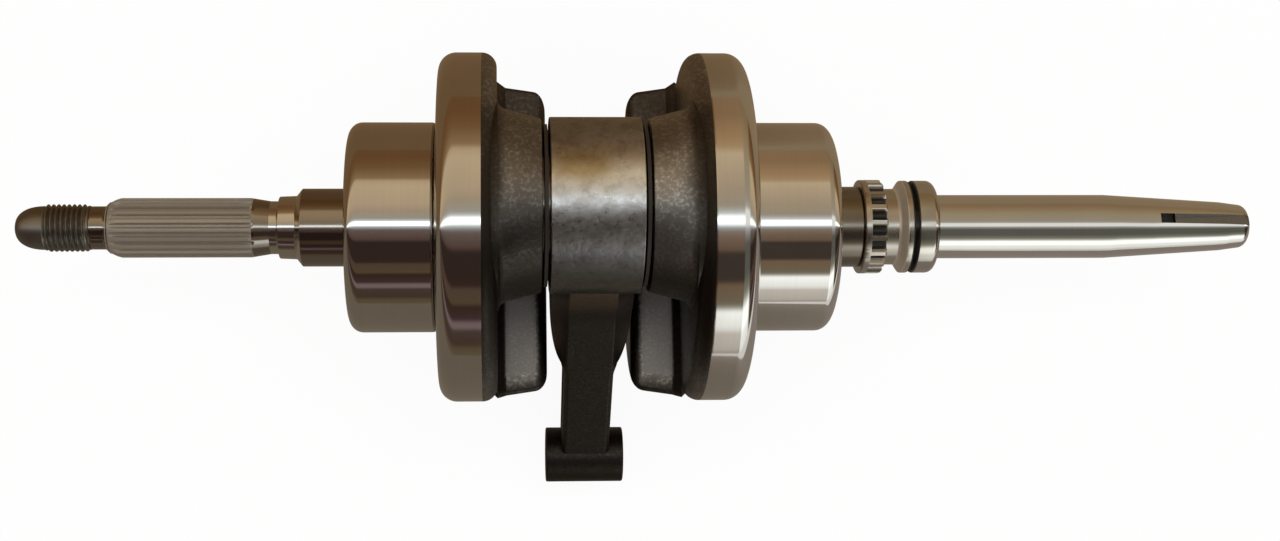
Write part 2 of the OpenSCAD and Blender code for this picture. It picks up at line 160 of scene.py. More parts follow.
def softened(points, radii, steps=5, closed=False):
    """Rounds the corners of polylines. A corner with radius r and half angle h between its sides becomes an
    arc about the point r / sin(h) along the bisector, touching both sides r / tan(h) from the corner.
    points is (..., corners, 2) and radii has one value for each corner."""
    points = np.asarray(points, float)
    radii = np.asarray(radii, float)[..., None]
    to_last = unit(np.roll(points, 1, axis=-2) - points)
    to_next = unit(np.roll(points, -1, axis=-2) - points)
    half = np.arccos(np.clip((to_last * to_next).sum(-1, keepdims=True), -1, 1)) / 2
    bends = (half < QUARTER - 1e-4) & (radii > 0)
    half = np.where(bends, half, QUARTER / 2)
    reach = np.where(bends, radii / np.tan(half), 0)
    centre = points + unit(to_last + to_next) * np.where(bends, radii / np.sin(half), 0)
    first = (points + to_last * reach - centre)[..., None, :]
    last = (points + to_next * reach - centre)[..., None, :]
    sweep = (math.pi - 2 * half)[..., None, :]
    t = np.linspace(0, 1, steps)[:, None]
    arcs = centre[..., None, :] + (np.sin((1 - t) * sweep) * first + np.sin(t * sweep) * last) / np.sin(sweep)
    if not closed:
        arcs[..., 0, :, :] = points[..., 0, None, :]
        arcs[..., -1, :, :] = points[..., -1, None, :]
    return arcs.reshape(*points.shape[:-2], -1, 2)


def placed(rings, origin, turn, side=RIGHT):
    """Takes (along, across, up) to the packed frame: x = origin + side * along, and across and up turned by
    an angle about the origin's line along X."""
    s, across, up = np.moveaxis(rings, -1, 0)
    return np.stack([origin[0] + side * s,
                     origin[1] + across * math.cos(turn) + up * math.sin(turn),
                     origin[2] + up * math.cos(turn) - across * math.sin(turn)], axis=-1)


def around(rings, height, stops, turn=PIN_TURN):
    """A mask by the angle in degrees about an axis at this height: stops are (angle, value) pairs in the
    pose at rest, where 0 is straight up and angles grow towards +Y."""
    angles, values = zip(*stops)
    here = np.degrees(np.arctan2(rings[..., 1], rings[..., 2] - height) + turn)
    return np.interp((here + 180) % 360 - 180, angles, values)


def skin(name, rings, finishes, rides, flip=False, chosen=None, masks=None):
    """Joins a stack of closed rings of points into one skin. Ring i and ring i + 1 are joined by quads, each
    ring's last point is joined to its first, and points that coincide are welded, which closes poles.
    chosen is the finish of each row or quad, and rides is the body, a slot that is not used, and the node it
    stands for."""
    rows, columns = rings.shape[:2]
    i, j = np.meshgrid(np.arange(rows - 1), np.arange(columns), indexing="ij")
    k = (j + 1) % columns
    quads = together(i * columns + j, (i + 1) * columns + j, (i + 1) * columns + k, i * columns + k)
    quads = quads.reshape(-1, 4)[:, ::-1 if flip else 1]
    mesh = bpy.data.meshes.new(name)
    mesh.vertices.add(rows * columns)
    mesh.vertices.foreach_set("co", rings.astype(np.float32).ravel())
    mesh.loops.add(quads.size)
    mesh.loops.foreach_set("vertex_index", quads.astype(np.int32).ravel())
    mesh.polygons.add(len(quads))
    mesh.polygons.foreach_set("loop_start", np.arange(0, quads.size, 4, dtype=np.int32))
    for key in finishes:
        mesh.materials.append(finish(key))
    if chosen is not None:
        chosen = np.asarray(chosen, np.int32).reshape(rows - 1, -1)
        mesh.polygons.foreach_set("material_index", np.broadcast_to(chosen, (rows - 1, columns)).ravel())
    mesh.update(calc_edges=True)
    for mask, values in (masks or {}).items():
        layer = mesh.attributes.new(mask, "FLOAT", "POINT")
        layer.data.foreach_set("value", np.broadcast_to(values, (rows, columns)).astype(np.float32).ravel())
    shape = bmesh.new()
    shape.from_mesh(mesh)
    bmesh.ops.remove_doubles(shape, verts=shape.verts, dist=WELD)
    bmesh.ops.dissolve_degenerate(shape, edges=shape.edges, dist=WELD)
    shape.to_mesh(mesh)
    shape.free()
    mesh.polygons.foreach_set("use_smooth", np.ones(len(mesh.polygons), bool))
    mesh.set_sharp_from_angle(angle=CREASE)
    piece = bpy.data.objects.new(name, mesh)
    bpy.context.scene.collection.objects.link(piece)
    piece.modifiers.new("Even normals", "WEIGHTED_NORMAL").keep_sharp = True
    body, slot, stands_for = rides
    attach(piece, body)
    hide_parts(stands_for)


def crank_skin(name, side, rings, finishes, chosen=None, masks=None, rides=None, turn=PIN_TURN):
    """A skin of (station, across, up), where up points from the crank axis to the crankpin. It rides on the
    crank and stands for its side's half, unless told otherwise."""
    rides = rides or ("crank", "crank_steel", dict(SIDES)[side] + "_crank_half")
    skin(name, placed(rings, (PIN.x, 0, 0), turn, side), finishes, rides, side == LEFT, chosen, masks)


def rod_skin(name, rings, finishes, masks):
    """A skin of (along the crankpin, across, up from the big end's axis), with the rod hanging straight
    down. It leans with the rod, rides on it and stands for it."""
    skin(name, placed(rings, PIN, ROD_TURN), finishes, ("rod", "rod_steel", "connecting_rod"), masks=masks)


# ---------------------------------------------------------------- shader nodes

def node(tree, kind, **settings):
    """Adds a node, with its properties set by name and its inputs by index or name in `ins`."""
    ins = settings.pop("ins", {})
    made = tree.nodes.new(kind)
    for key, value in settings.items():
        setattr(made, key, value)
    for key, value in ins.items():
        if isinstance(value, bpy.types.NodeSocket):
            tree.links.new(value, made.inputs[key])
        else:
            made.inputs[key].default_value = value
    return made


def maths(tree, operation, *values, clamp=False):
    """A Math node's output."""
    return node(tree, "ShaderNodeMath", operation=operation, use_clamp=clamp,
                ins=dict(enumerate(values))).outputs[0]


def times(tree, first, second):
    """The product of two values."""
    return maths(tree, "MULTIPLY", first, second)


def plus(tree, first, second):
    """The sum of two values."""
    return maths(tree, "ADD", first, second)


def blended(tree, share, first, second):
    """A colour mix's output: first where share is 0 and second where it is 1."""
    return node(tree, "ShaderNodeMix", data_type="RGBA", ins={0: share, 6: first, 7: second}).outputs[2]


def noise(tree, place, scale, detail, roughness=0.5):
    """A Noise Texture's value."""
    return node(tree, "ShaderNodeTexNoise", ins={"Vector": place, "Scale": scale, "Detail": detail,
                                                 "Roughness": roughness}).outputs[0]


def ranged(tree, value, low, high, to_low=0.0, to_high=1.0):
    """A Map Range node's output: the value's way from low to high carried over to another range."""
    return node(tree, "ShaderNodeMapRange", ins={0: value, 1: low, 2: high, 3: to_low, 4: to_high}).outputs[0]


def ramp(tree, value, stops):
    """A colour ramp's output, with its stops as (place, colour)."""
    made = node(tree, "ShaderNodeValToRGB", ins={0: value})
    elements = made.color_ramp.elements
    while len(elements) < len(stops):
        elements.new(1.0)
    for element, (place, colour) in zip(elements, stops):
        element.position = place
        element.color = (*colour, 1)
    return made.outputs[0]


def coordinates(tree, kind="Object"):
    """A point's coordinates, whole and as x, y and z."""
    place = node(tree, "ShaderNodeTexCoord").outputs[kind]
    return place, *node(tree, "ShaderNodeSeparateXYZ", ins={0: place}).outputs


def group(name, inputs, outputs):
    """A shader node group: the inputs are (kind, name, default), and the outputs (kind, name)."""
    tree = bpy.data.node_groups.new(name, "ShaderNodeTree")
    for kind, label, default in inputs:
        tree.interface.new_socket(label, in_out="INPUT", socket_type=kind).default_value = default
    for kind, label in outputs:
        tree.interface.new_socket(label, in_out="OUTPUT", socket_type=kind)
    return tree, tree.nodes.new("NodeGroupInput").outputs, tree.nodes.new("NodeGroupOutput")


FLOAT, COLOUR = "NodeSocketFloat", "NodeSocketColor"


def tool_marks_group():
    """Fine rings that a lathe or a grinder leaves round the crank axis: noise stretched round it and fine
    along X, with a slower tone between neighbouring rings."""
    tree, into, out = group(
        "Tool marks",
        [(FLOAT, "Rings per metre", 2200.0), (FLOAT, "Roughness", 0.06), (FLOAT, "Roughness spread", 0.05)],
        [(FLOAT, "Height"), (FLOAT, "Roughness"), (FLOAT, "Tone")])
    place, x, y, z = coordinates(tree)
    waves_round = 14.0   # per metre across the crank axis, so that each ring is long and slow
    spot = node(tree, "ShaderNodeCombineXYZ", ins={0: times(tree, x, into["Rings per metre"]),
                                                   1: times(tree, y, waves_round),
                                                   2: times(tree, z, waves_round)}).outputs[0]
    lines = noise(tree, spot, 1.0, 3.0)
    slow = noise(tree, place, 60.0, 2.0)
    spread = times(tree, maths(tree, "SUBTRACT", slow, 0.5), into["Roughness spread"])
    for value, label in (
            (lines, "Height"), (maths(tree, "ADD", into["Roughness"], spread, clamp=True), "Roughness"),
            (plus(tree, times(tree, lines, 0.35), times(tree, slow, 0.65)), "Tone")):
        tree.links.new(value, out.inputs[label])
    return tree


def forged_skin_group():
    """The skin of a drop forging: scale pits at two sizes, small bright points, and slow stains."""
    tree, into, out = group(
        "Forged skin",
        [(FLOAT, "Pits per metre", 900.0), (COLOUR, "Scale colour", (0.1, 0.09, 0.08, 1)),
         (COLOUR, "Rubbed colour", (0.3, 0.28, 0.26, 1)), (COLOUR, "Stain", (0.12, 0.07, 0.04, 1))],
        [(COLOUR, "Color"), (FLOAT, "Height"), (FLOAT, "Roughness")])
    place = coordinates(tree)[0]
    pits = noise(tree, place, into["Pits per metre"], 5.0, 0.65)
    coarse = noise(tree, place, 260.0, 3.0)
    tops = ranged(tree, pits, 0.5, 0.68)
    stained = ranged(tree, noise(tree, place, 45.0, 4.0), 0.48, 0.66)
    colour = blended(tree, tops, into["Scale colour"], into["Rubbed colour"])
    for value, label in (
            (blended(tree, times(tree, stained, 0.5), colour, into["Stain"]), "Color"),
            (plus(tree, times(tree, pits, 0.5), times(tree, coarse, 0.9)), "Height"),
            (ranged(tree, pits, 0.35, 0.7, 0.5, 0.34), "Roughness")):
        tree.links.new(value, out.inputs[label])
    return tree


GROUPS = {"Tool marks": tool_marks_group, "Forged skin": forged_skin_group}


def marks(tree, name, *values):
    """The outputs of a shared node group, which is built once."""
    shared = bpy.data.node_groups.get(name) or GROUPS[name]()
    return node(tree, "ShaderNodeGroup", node_tree=shared, ins=dict(enumerate(values))).outputs


# ---------------------------------------------------------------- finishes

def steel(name, metallic, maker, *values):
    """A Principled material whose colour, roughness and bump come from a maker of sockets."""
    made = bpy.data.materials.new(name)
    made.use_nodes = True
    tree = made.node_tree
    shader = tree.nodes["Principled BSDF"]
    shader.inputs["Metallic"].default_value = metallic
    colour, roughness, height, depth = maker(tree, *values)
    bump = node(tree, "ShaderNodeBump", ins={"Height": height, "Distance": depth, "Strength": 1.0})
    for value, label in ((colour, "Base Color"), (roughness, "Roughness"), (bump.outputs[0], "Normal")):
        tree.links.new(value, shader.inputs[label])
    return made


def ground(tree, colour, roughness, spread, rings, depth):
    """Steel ground or turned on centres: fine rings round the crank axis on a bright or satin ground."""
    made = marks(tree, "Tool marks", rings, roughness, spread)
    darker = 0.82
    dark = tuple(darker * c for c in colour)
    return blended(tree, made["Tone"], (*colour, 1), (*dark, 1)), made["Roughness"], made["Height"], depth


def painted_shading(tree, colour):
    """A colour with painted light and shade: browned as painted light where the piece's own light mask is 1,
    and darkened as painted shade where its shade mask is 1."""
    # painted light is a lit brown, and painted shade is a near black
    for mask, painted_to in (("bare", (0.23, 0.165, 0.12, 1)), ("soot", (0.03, 0.024, 0.019, 1))):
        share = node(tree, "ShaderNodeAttribute", attribute_name=mask).outputs["Fac"]
        colour = blended(tree, share, colour, painted_to)
    return colour


def forged(tree, scale, rubbed, stain, pits, depth):
    """Forged steel with its scale left on, and painted light and shade from the piece's masks."""
    made = marks(tree, "Forged skin", pits, (*scale, 1), (*rubbed, 1), (*stain, 1))
    return painted_shading(tree, made["Color"]), made["Roughness"], made["Height"], depth


def big_end(tree):
    """Satin steel of the big end, with dull patches, one straw-coloured heat stain and painted shade from its
    mask.
    """
    place = coordinates(tree)[0]
    grain = noise(tree, place, 700.0, 4.0)
    cloud = noise(tree, place, 70.0, 3.0)
    # the stain is half as wide across the crank axis as along it, round a point on the big end's top
    stretch, middle = (1.0, 2.0, 1.0), (0.053, 0.031, 0.0493)
    stretched = node(tree, "ShaderNodeVectorMath", operation="MULTIPLY", ins={0: place, 1: stretch})
    away = node(tree, "ShaderNodeVectorMath", operation="DISTANCE", ins={0: stretched.outputs[0], 1: middle})
    stain = ranged(tree, plus(tree, away.outputs["Value"], times(tree, cloud, 0.012)), 0.018, 0.012)
    dull = ranged(tree, noise(tree, place, 240.0, 5.0, 0.6), 0.46, 0.62)
    colour = blended(tree, cloud, (0.88, 0.89, 0.9, 1), (0.62, 0.61, 0.6, 1))
    colour = blended(tree, times(tree, dull, 0.45), colour, (0.38, 0.34, 0.3, 1))
    colour = blended(tree, times(tree, stain, 0.8), colour, (0.42, 0.33, 0.17, 1))
    return painted_shading(tree, colour), ranged(tree, grain, 0.3, 0.7, 0.25, 0.38), grain, 0.00005


# ground and turned steels: name, colour or the panel's colour and its share, then what differs from GROUND
GROUND = {"roughness": 0.055, "spread": 0.03, "rings": 2200.0, "depth": 0.0000006, "metallic": 1.0}
GROUND_STEELS = {
    "bright": ("Ground bearing steel", "ground", 1, {}),
    "rim": ("Ground web rim", "ground", 1, {"roughness": 0.085, "rings": 1700.0}),
    "face": ("Turned web face", "ground", 0.85, {"roughness": 0.26, "rings": 1500.0, "depth": 0.000002}),
    "slot": ("Milled slot", "ground", 0.35, {"roughness": 0.35, "rings": 800.0}),
    "dark": ("Dark ground journal", "dark_ground", 1,
             {"roughness": 0.11, "rings": 1500.0, "depth": 0.000001}),
    # darker steel on the hub between the right bearing and the sprocket
    "hub": ("Oily hub steel", (0.22, 0.19, 0.15), 1,
            {"roughness": 0.2, "rings": 1500.0, "depth": 0.000001}),
    "satin": ("Hobbed spline steel", "spline", 1,
              {"roughness": 0.34, "spread": 0.1, "rings": 900.0, "depth": 0.000004, "metallic": 0.5}),
    "thread": ("Rolled thread steel", "thread", 1,
               {"roughness": 0.4, "spread": 0.12, "rings": 900.0, "depth": 0.000004}),
    "sprocket": ("Hardened sprocket steel", "sprocket", 1,
                 {"roughness": 0.22, "spread": 0.12, "rings": 1600.0, "depth": 0.0000015}),
    "cone": ("Turned cone steel", (0.5, 0.42, 0.325), 1,
             {"roughness": 0.36, "rings": 900.0, "metallic": 0.6}),
    "collar": ("Seal collar steel", "sprocket", 1, {"roughness": 0.12, "spread": 0.06, "rings": 1900.0}),
    "balls": ("Bearing balls", (0.72, 0.71, 0.7), 1, {"roughness": 0.06, "spread": 0.02}),
    "cage": ("Rolled cage steel", (0.5, 0.49, 0.47), 1, {"roughness": 0.3, "rings": 500.0}),
    "brass": ("Machined cage brass", (0.66, 0.44, 0.18), 1, {"roughness": 0.3, "rings": 700.0}),
    # the washer's near black is painted shade in the gap beside the big end
    "washer": ("Oily thrust washer", (0.035, 0.027, 0.02), 1,
               {"roughness": 0.5, "rings": 700.0, "metallic": 0.4}),
    "pin": ("Crankpin steel", (0.5, 0.48, 0.46), 1, {"roughness": 0.22, "rings": 900.0}),
}
# forged steels: name, colour of the scale as above, rubbed points, stains, pits per metre, depth, metallic
FORGED_STEELS = {
    "forged": ("Forged crank skin", "forged", 0.72, (0.62, 0.65, 0.68), (0.24, 0.19, 0.15), 950.0,
               0.00014, 1.0),
    # the lighter counterweight flat is painted light, given only to the flat that faces -Y
    "flat": ("Counterweight flat", (0.24, 0.225, 0.212), 1, (0.33, 0.31, 0.295), (0.22, 0.2, 0.185), 1500.0,
             0.00006, 0.3),
    # the rod's near-black skin is painted shade, also on the small end
    "rod": ("Blackened rod skin", (0.04, 0.035, 0.031), 1, (0.067, 0.059, 0.052), (0.04, 0.03, 0.024), 1200.0,
            0.00008, 1.0),
    # painted shade for recesses: tooth spaces, grooves and the keyway's pocket
    "grime": ("Oily grime", (0.012, 0.01, 0.008), 1, (0.02, 0.018, 0.015), (0.01, 0.008, 0.006), 1500.0,
              0.00011, 0.0),
}


def finish(key):
    """The finish of that key, made on first use."""
    if key == "big_end":
        return bpy.data.materials.get("Big end steel") or steel("Big end steel", 1.0, big_end)
    name, colour, share, *rest = (GROUND_STEELS.get(key) or FORGED_STEELS[key])
    if name in bpy.data.materials:
        return bpy.data.materials[name]
    if isinstance(colour, str):
        colour = getattr(bpy.context.scene.crank_finish, colour)
    colour = tuple(share * c for c in colour)
    if key in FORGED_STEELS:
        return steel(name, rest[-1], forged, colour, *rest[:-1])
    *values, metallic = (GROUND | rest[0]).values()
    return steel(name, metallic, ground, colour, *values)


# ---------------------------------------------------------------- settings

def size(name, value, description):
    """A length in metres that the panel shows."""
    return FloatProperty(name=name, description=description, default=value, unit="LENGTH", precision=5)


def degrees(name, value, description):
    """An angle that the panel shows in degrees."""
    return FloatProperty(name=name, description=description, default=math.radians(value), subtype="ANGLE")


def tint(name, value, description):
    """A colour that the panel shows."""
    return FloatVectorProperty(name=name, description=description, default=value, subtype="COLOR",
                               size=3, min=0.0, max=1.0)


class CrankWebSettings(PropertyGroup):
    """Sizes of both webs, their bosses and their counterweights."""
    face: size("Outer face", 0.0445, "Station of each web's outer face")
    rim_width: size("Rim width", 0.0126, "Width of the ground rim")
    rim_round: size("Rim round", 0.0052, "Round on the rim's outer edge")
    edge_round: size("Forged edge", 0.0044, "Round between the rim and the forged inner face")
    lip: size("Rim lip", 0.0005, "Bright lip where the grinding ends")
    step_radius: size("Bearing step radius", 0.016, "Radius of the step that the bearing sits against")
    boss_face: size("Boss face", 0.0151, "Station of the crankpin boss's inner face")
    boss_radius: size("Boss radius", 0.0245, "Radius of the boss at its inner face")
    boss_root: size("Boss root radius", 0.0277, "Radius of the boss where it meets the web")
    pin_radius: size("Crankpin radius", 0.014, "Radius of the hole for the crankpin")
    weight_inset: size("Counterweight inset", 0.0026,
                       "How far the rim lies inside the web's, at the inner face")
    weight_root_inset: size("Counterweight root inset", 0.0005,
                            "How far it lies inside the web's, at the web")
    weight_drop: size("Counterweight drop", 0.014, "Distance from the crank axis to the flat")
    weight_round: size("Counterweight round", 0.0036, "Round on the inner edges")
    weight_root_round: size("Counterweight root", 0.0026, "Round where the counterweight meets the web")
    weight_corner: size("Counterweight corner", 0.0015, "Round between the flat and the rim")


class DriveEndSettings(PropertyGroup):
    """Sizes of the belt-drive end."""
    shoulder: size("Shoulder radius", 0.0115, "Radius next to the left main bearing")
    shoulder_end: size("Shoulder end", 0.0846, "Station where the shoulder ends")
    land: size("Land radius", 0.00915, "Radius of the land for the drive collar")
    land_start: size("Land start", 0.0863, "Station where the land starts")
    land_end: size("Land end", 0.0913, "Station where the land ends")
    relief: size("Relief radius", 0.0078, "Radius of the relief behind the spline")
    relief_end: size("Relief end", 0.0939, "Station where the relief ends")
    spline: size("Spline radius", 0.00875, "Outer radius of the spline")
    spline_depth: size("Spline depth", 0.001, "Depth of the spline's spaces")
    spline_start: size("Spline start", 0.0997, "Station where the spline has its full radius")
    spline_end: size("Spline end", 0.1372, "Station where the outer chamfer starts")
    chamfer_end: size("Chamfer end", 0.1412, "Station where the chamfer ends")
    neck: size("Neck radius", 0.00635, "Radius of the neck inside the thread")
    thread_start: size("Thread start", 0.1462, "Station where the thread starts")
    thread_end: size("Thread end", 0.1597, "Station where the thread ends")
    thread: size("Thread radius", 0.007, "Outer radius of the thread")
    pitch: size("Thread pitch", 0.0015, "Distance between neighbouring crests")
    teeth: IntProperty(name="Spline teeth", description="Number of teeth on the spline", default=20)


class FlywheelEndSettings(PropertyGroup):
    """Sizes of the flywheel end."""
    seat: size("Bearing seat radius", 0.0125, "Radius of both bearing seats")
    hub: size("Hub radius", 0.012, "Radius between the right bearing and the sprocket")
    press_seat: size("Press seat radius", 0.01, "Radius under the sprocket and the collar")
    shaft: size("Shaft radius", 0.0095, "Radius of the long shaft")
    taper_start: size("Taper start", 0.1548, "Station where the taper starts")
    taper_end: size("Taper end", 0.1904, "Station where the taper ends")
    taper_radius: size("Taper end radius", 0.007275, "Radius where the taper ends")
    nose_radius: size("Nose radius", 0.0062, "Radius of the end face before its round")
    nose_round: size("Nose round", 0.0026, "Round on the edge of the end face")
    hole: size("Bolt hole radius", 0.0034, "Radius of the tapped hole")
    hole_depth: size("Bolt hole depth", 0.024, "Depth of the tapped hole")
    key_width: size("Keyway width", 0.003, "Width of the keyway")
    key_floor: size("Keyway floor", 0.0062, "Distance from the crank axis to the keyway's floor")
    key_length: size("Keyway length", 0.0284, "Length of the keyway from the end")
    pocket_length: size("Pocket length", 0.0052, "Length of the deep pocket")
    pocket_floor: size("Pocket floor", 0.0046, "Distance from the crank axis to the pocket's floor")
    key_turn: degrees("Keyway turn", 4, "Turn of the keyway from the crankpin's side")


class SprocketSettings(PropertyGroup):
    """Sizes of the timing sprocket and the seal collar."""
    bore: size("Bore", 0.01, "Radius of the bore of both")
    root: size("Root radius", 0.0117, "Radius at the bottom of the tooth spaces")
    space: size("Tooth seat radius", 0.0011, "Radius at the bottom of each tooth space")
    tooth_start: size("Tooth start", 0.0821, "Station where the teeth start")
    tooth_end: size("Tooth end", 0.0868, "Station where the teeth end")
    neck: size("Neck radius", 0.01135, "Radius of the sprocket's neck")
    cone_start: size("Cone start", 0.0912, "Station where the cone to the end ring starts")
    ring_start: size("End ring start", 0.0928, "Station where the end ring starts")
    ring: size("End ring radius", 0.0138, "Radius of the end ring")
    collar_round: size("Collar round", 0.0022, "Round on the collar's outer edge")
    teeth: IntProperty(name="Teeth", description="Number of teeth on the timing sprocket", default=18)
    turn: degrees("Turn", 2, "Turn of the first tooth space from the crankpin's side")


class BearingSettings(PropertyGroup):
    """Sizes of the main bearings' rings."""
    outer_round: size("Outer round", 0.004, "Round on the outer ring's edge that faces away from the web")
    inner_round: size("Inner round", 0.001, "Round on its other edge")
    ball: size("Race radius", 0.00455, "Radius of the race grooves")
    orbit: size("Ball orbit", 0.02175, "Distance from the crank axis to the balls' centres")
    row: size("Row offset", 0.0061, "Distance from the bearing's middle to each row of balls")
    race_wall: size("Race wall", 0.00345, "Distance from the balls' centres to the rings' walls")


class RodSettings(PropertyGroup):
    """Sizes of the connecting rod."""
    big_radius: size("Big end radius", 0.025, "Outer radius of the big end")
    big_bore: size("Big end bore", 0.01804, "Bore radius of the big end")
    big_width: size("Big end width", 0.0258, "Width of the big end")
    small_radius: size("Small end radius", 0.00865, "Outer radius of the small end")
    small_bore: size("Small end bore", 0.0065, "Bore radius of the small end")
    small_width: size("Small end width", 0.0244, "Width of the small end")
    shank_width: size("Shank width", 0.015, "Width of the shank along the crank axis")
    depth_big: size("Depth at the big end", 0.0215, "Depth of the shank where it leaves the big end")
    depth_small: size("Depth at the small end", 0.0126, "Depth of the shank at the small end")
    recess: size("Recess", 0.0034, "Depth of the recess in each side")
    flare_start: size("Flare start", 0.029, "Distance from the big end at which the flare starts to narrow")
    flare_end: size("Flare end", 0.056, "Distance from the big end at which it ends")


class FinishSettings(PropertyGroup):
    """Colours of the steels."""
    ground: tint("Ground steel", (0.62, 0.585, 0.54), "Bearing rings, web rims and the long shaft")
    dark_ground: tint("Dark ground steel", (0.34, 0.3, 0.26), "Journal and land of the drive end")
    spline: tint("Spline steel", (0.31, 0.265, 0.208), "Spline of the drive end")
    thread: tint("Thread steel", (0.26, 0.235, 0.2), "Thread of the drive end")
    sprocket: tint("Sprocket steel", (0.5, 0.46, 0.4), "Timing sprocket and seal collar")
    forged: tint("Forged steel", (0.46, 0.425, 0.39), "Forged skin of the webs and counterweights")


class StageSettings(PropertyGroup):
    """The camera and the light."""
    lens: FloatProperty(name="Lens", description="Focal length in millimetres", default=50.85)
    distance: size("Camera distance", 0.537, "Height of the camera above the crank axis")
    yaw: degrees("Yaw", 3, "Lean of the camera towards the flywheel end")
    roll: degrees("Roll", -0.16, "Turn of the camera about its own axis")
    along: size("Camera along", 0.03073, "Place of the camera along the crank axis")
    across: size("Camera across", -0.0128, "Place of the camera across the crank axis")
    shift: FloatProperty(name="Shift", description="Sideways shift of the lens, as a share of the frame",
                         default=0.0371)
    light: FloatProperty(name="Fill", description="Plain level of the world's light", default=0.9)


# ---------------------------------------------------------------- pieces of the crank

# how much painted shade lies on the forged parts, by angle, and least where the highlights fall: round the
# crankpin on each boss and on the big end, and round the crank axis on the webs
BOSS_SHADE = {
    LEFT: [(-180, 0.9), (-80, 0.98), (-48, 0.98), (-28, 0.95), (-12, 0.86), (-2, 0.74), (8, 0.5), (17, 0.42),
           (28, 0.5), (40, 0.56), (55, 0.5), (70, 0.4), (100, 0.75), (180, 0.9)],
    RIGHT: [(-180, 0.9), (-80, 0.97), (-56, 0.95), (-46, 0.82), (-36, 0.6), (-24, 0.5), (-12, 0.62),
            (-6, 0.6), (2, 0.15), (9, 0.0), (18, 0.0), (26, 0.14), (34, 0.3), (42, 0.42), (55, 0.4),
            (68, 0.2), (100, 0.75), (180, 0.9)]}
EYE_SHADE = [(-180, 0.85), (-60, 0.85), (-37, 0.8), (-28, 0.65), (-14, 0.4), (-3, 0.25), (3, 0), (18, 0),
            (30, 0.3), (42, 0.55), (60, 0.6), (90, 0.65), (140, 0.75), (180, 0.85)]
WEB_SHADE = [(-180, 0.6), (-90, 0.55), (-62, 0.6), (-52, 0.85), (-44, 0.96), (-35, 1), (5, 1), (15, 0.97),
            (25, 0.9), (33, 0.86), (38, 0.78), (44, 0.5), (60, 0.35), (90, 0.45), (180, 0.6)]


class CRANK_OT_webs(Operator):
    """Round webs with a ground rim, a forged inner edge and an outer face bored for the crankpin"""
    bl_idname = "crank.webs"
    bl_label = "Webs"

    def execute(self, context):
        w = context.scene.crank_web
        inner = w.face - w.rim_width - w.edge_round
        steps = 13
        profile = softened([(inner, 0), (inner, WEB_RADIUS), (w.face, WEB_RADIUS), (w.face, 0)],
                           [0, w.edge_round, w.rim_round, 0], steps)
        inner_face = together(inner, np.linspace(0, WEB_RADIUS - w.edge_round, 6))
        edge, rim = profile[steps:2 * steps], profile[2 * steps:3 * steps]
        lip = [(inner + w.edge_round + w.lip, WEB_RADIUS)]
        body = turned(np.concatenate([inner_face, edge[1:], lip, rim]), 192)
        # the outer face runs from the chamfer's circle to the crankpin's hole along straight lines
        outer, pin = body[-1], np.array([0, 0, THROW])
        clear, sunk = 0.00005, 0.0012   # room round the crankpin, and how deep it sits in its hole
        spoke = np.arctan2(outer[:, 1], outer[:, 2] - THROW)
        hole = polar(outer[:, 0], w.pin_radius + clear, spoke) + pin
        face = outer + (hole - outer) * np.linspace(0, 1, 12)[1:-1, None, None]
        floor = np.broadcast_to([w.face - sunk, 0, THROW], hole.shape)
        well = [pin + (hole - pin) * [1, 1.03, 1.03], hole - [sunk / 3, 0, 0], hole - [sunk, 0, 0], floor]
        rings = np.concatenate([body, face, well])
        chosen = np.zeros(len(rings) - 1, int)
        chosen[:len(inner_face) + len(edge) - 2] = 1
        chosen[len(body) - 1:] = 2
        for side, name in SIDES:
            # the forged edge gets painted shade by angle round the crank axis
            crank_skin(f"{name}_web", side, rings, ("rim", "forged", "face"), chosen,
                       {"soot": around(rings, 0, WEB_SHADE)})
        return DONE


class CRANK_OT_bosses(Operator):
    """Forged, drafted bosses that hold the crankpin"""
    bl_idname = "crank.bosses"
    bl_label = "Crankpin bosses"

    def execute(self, context):
        w = context.scene.crank_web
        inner = w.face - w.rim_width - w.edge_round
        outline = softened([
            (w.boss_face + 0.002, w.pin_radius), (w.boss_face, w.pin_radius + 0.0002),
            (w.boss_face, w.boss_radius), (inner - 0.0004, w.boss_root),
            (inner + 0.0002, w.boss_root + 0.006)], [0, 0.0003, 0.0006, 0.003, 0], steps=6)
        flank = np.linspace(outline[17], outline[18], 8)[1:-1]
        rings = turned(np.concatenate([outline[:18], flank, outline[18:24]]), 160)
        # the last rows run on into the web
        tail = np.stack([rings[-1] + [0.0022, 0, 0], rings[-1] * [1, 0.8, 0.8] + [0.0032, 0, 0]])
        rings = np.concatenate([rings, tail]) + [0, 0, THROW]
        # nothing stands outside the web's circle: a point's distance from the crank axis becomes the soft
        # minimum -e ln(exp(-limit / e) + exp(-distance / e)), where e is the ease
        sunk, ease = 0.0008, 0.0018
        limit = WEB_RADIUS - sunk * smooth(inner - 0.006, inner, rings[..., 0])
        reach = np.hypot(rings[..., 1], rings[..., 2])
        eased = -ease * np.logaddexp(-limit / ease, -reach / ease)
        rings[..., 1:] *= (eased / np.maximum(reach, 1e-9))[..., None]
        root_shade = 0.97   # share of painted shade at the root, where the boss meets the web
        root = root_shade * smooth((w.boss_face + inner) / 2, inner + 0.001, rings[..., 0])
        for side, name in SIDES:
            # painted shade by angle round the crankpin, and at the root
            soot = np.maximum(around(rings, THROW, BOSS_SHADE[side]), root)
            crank_skin(f"{name}_boss", side, rings, ("forged",), masks={"soot": soot})
        return DONE


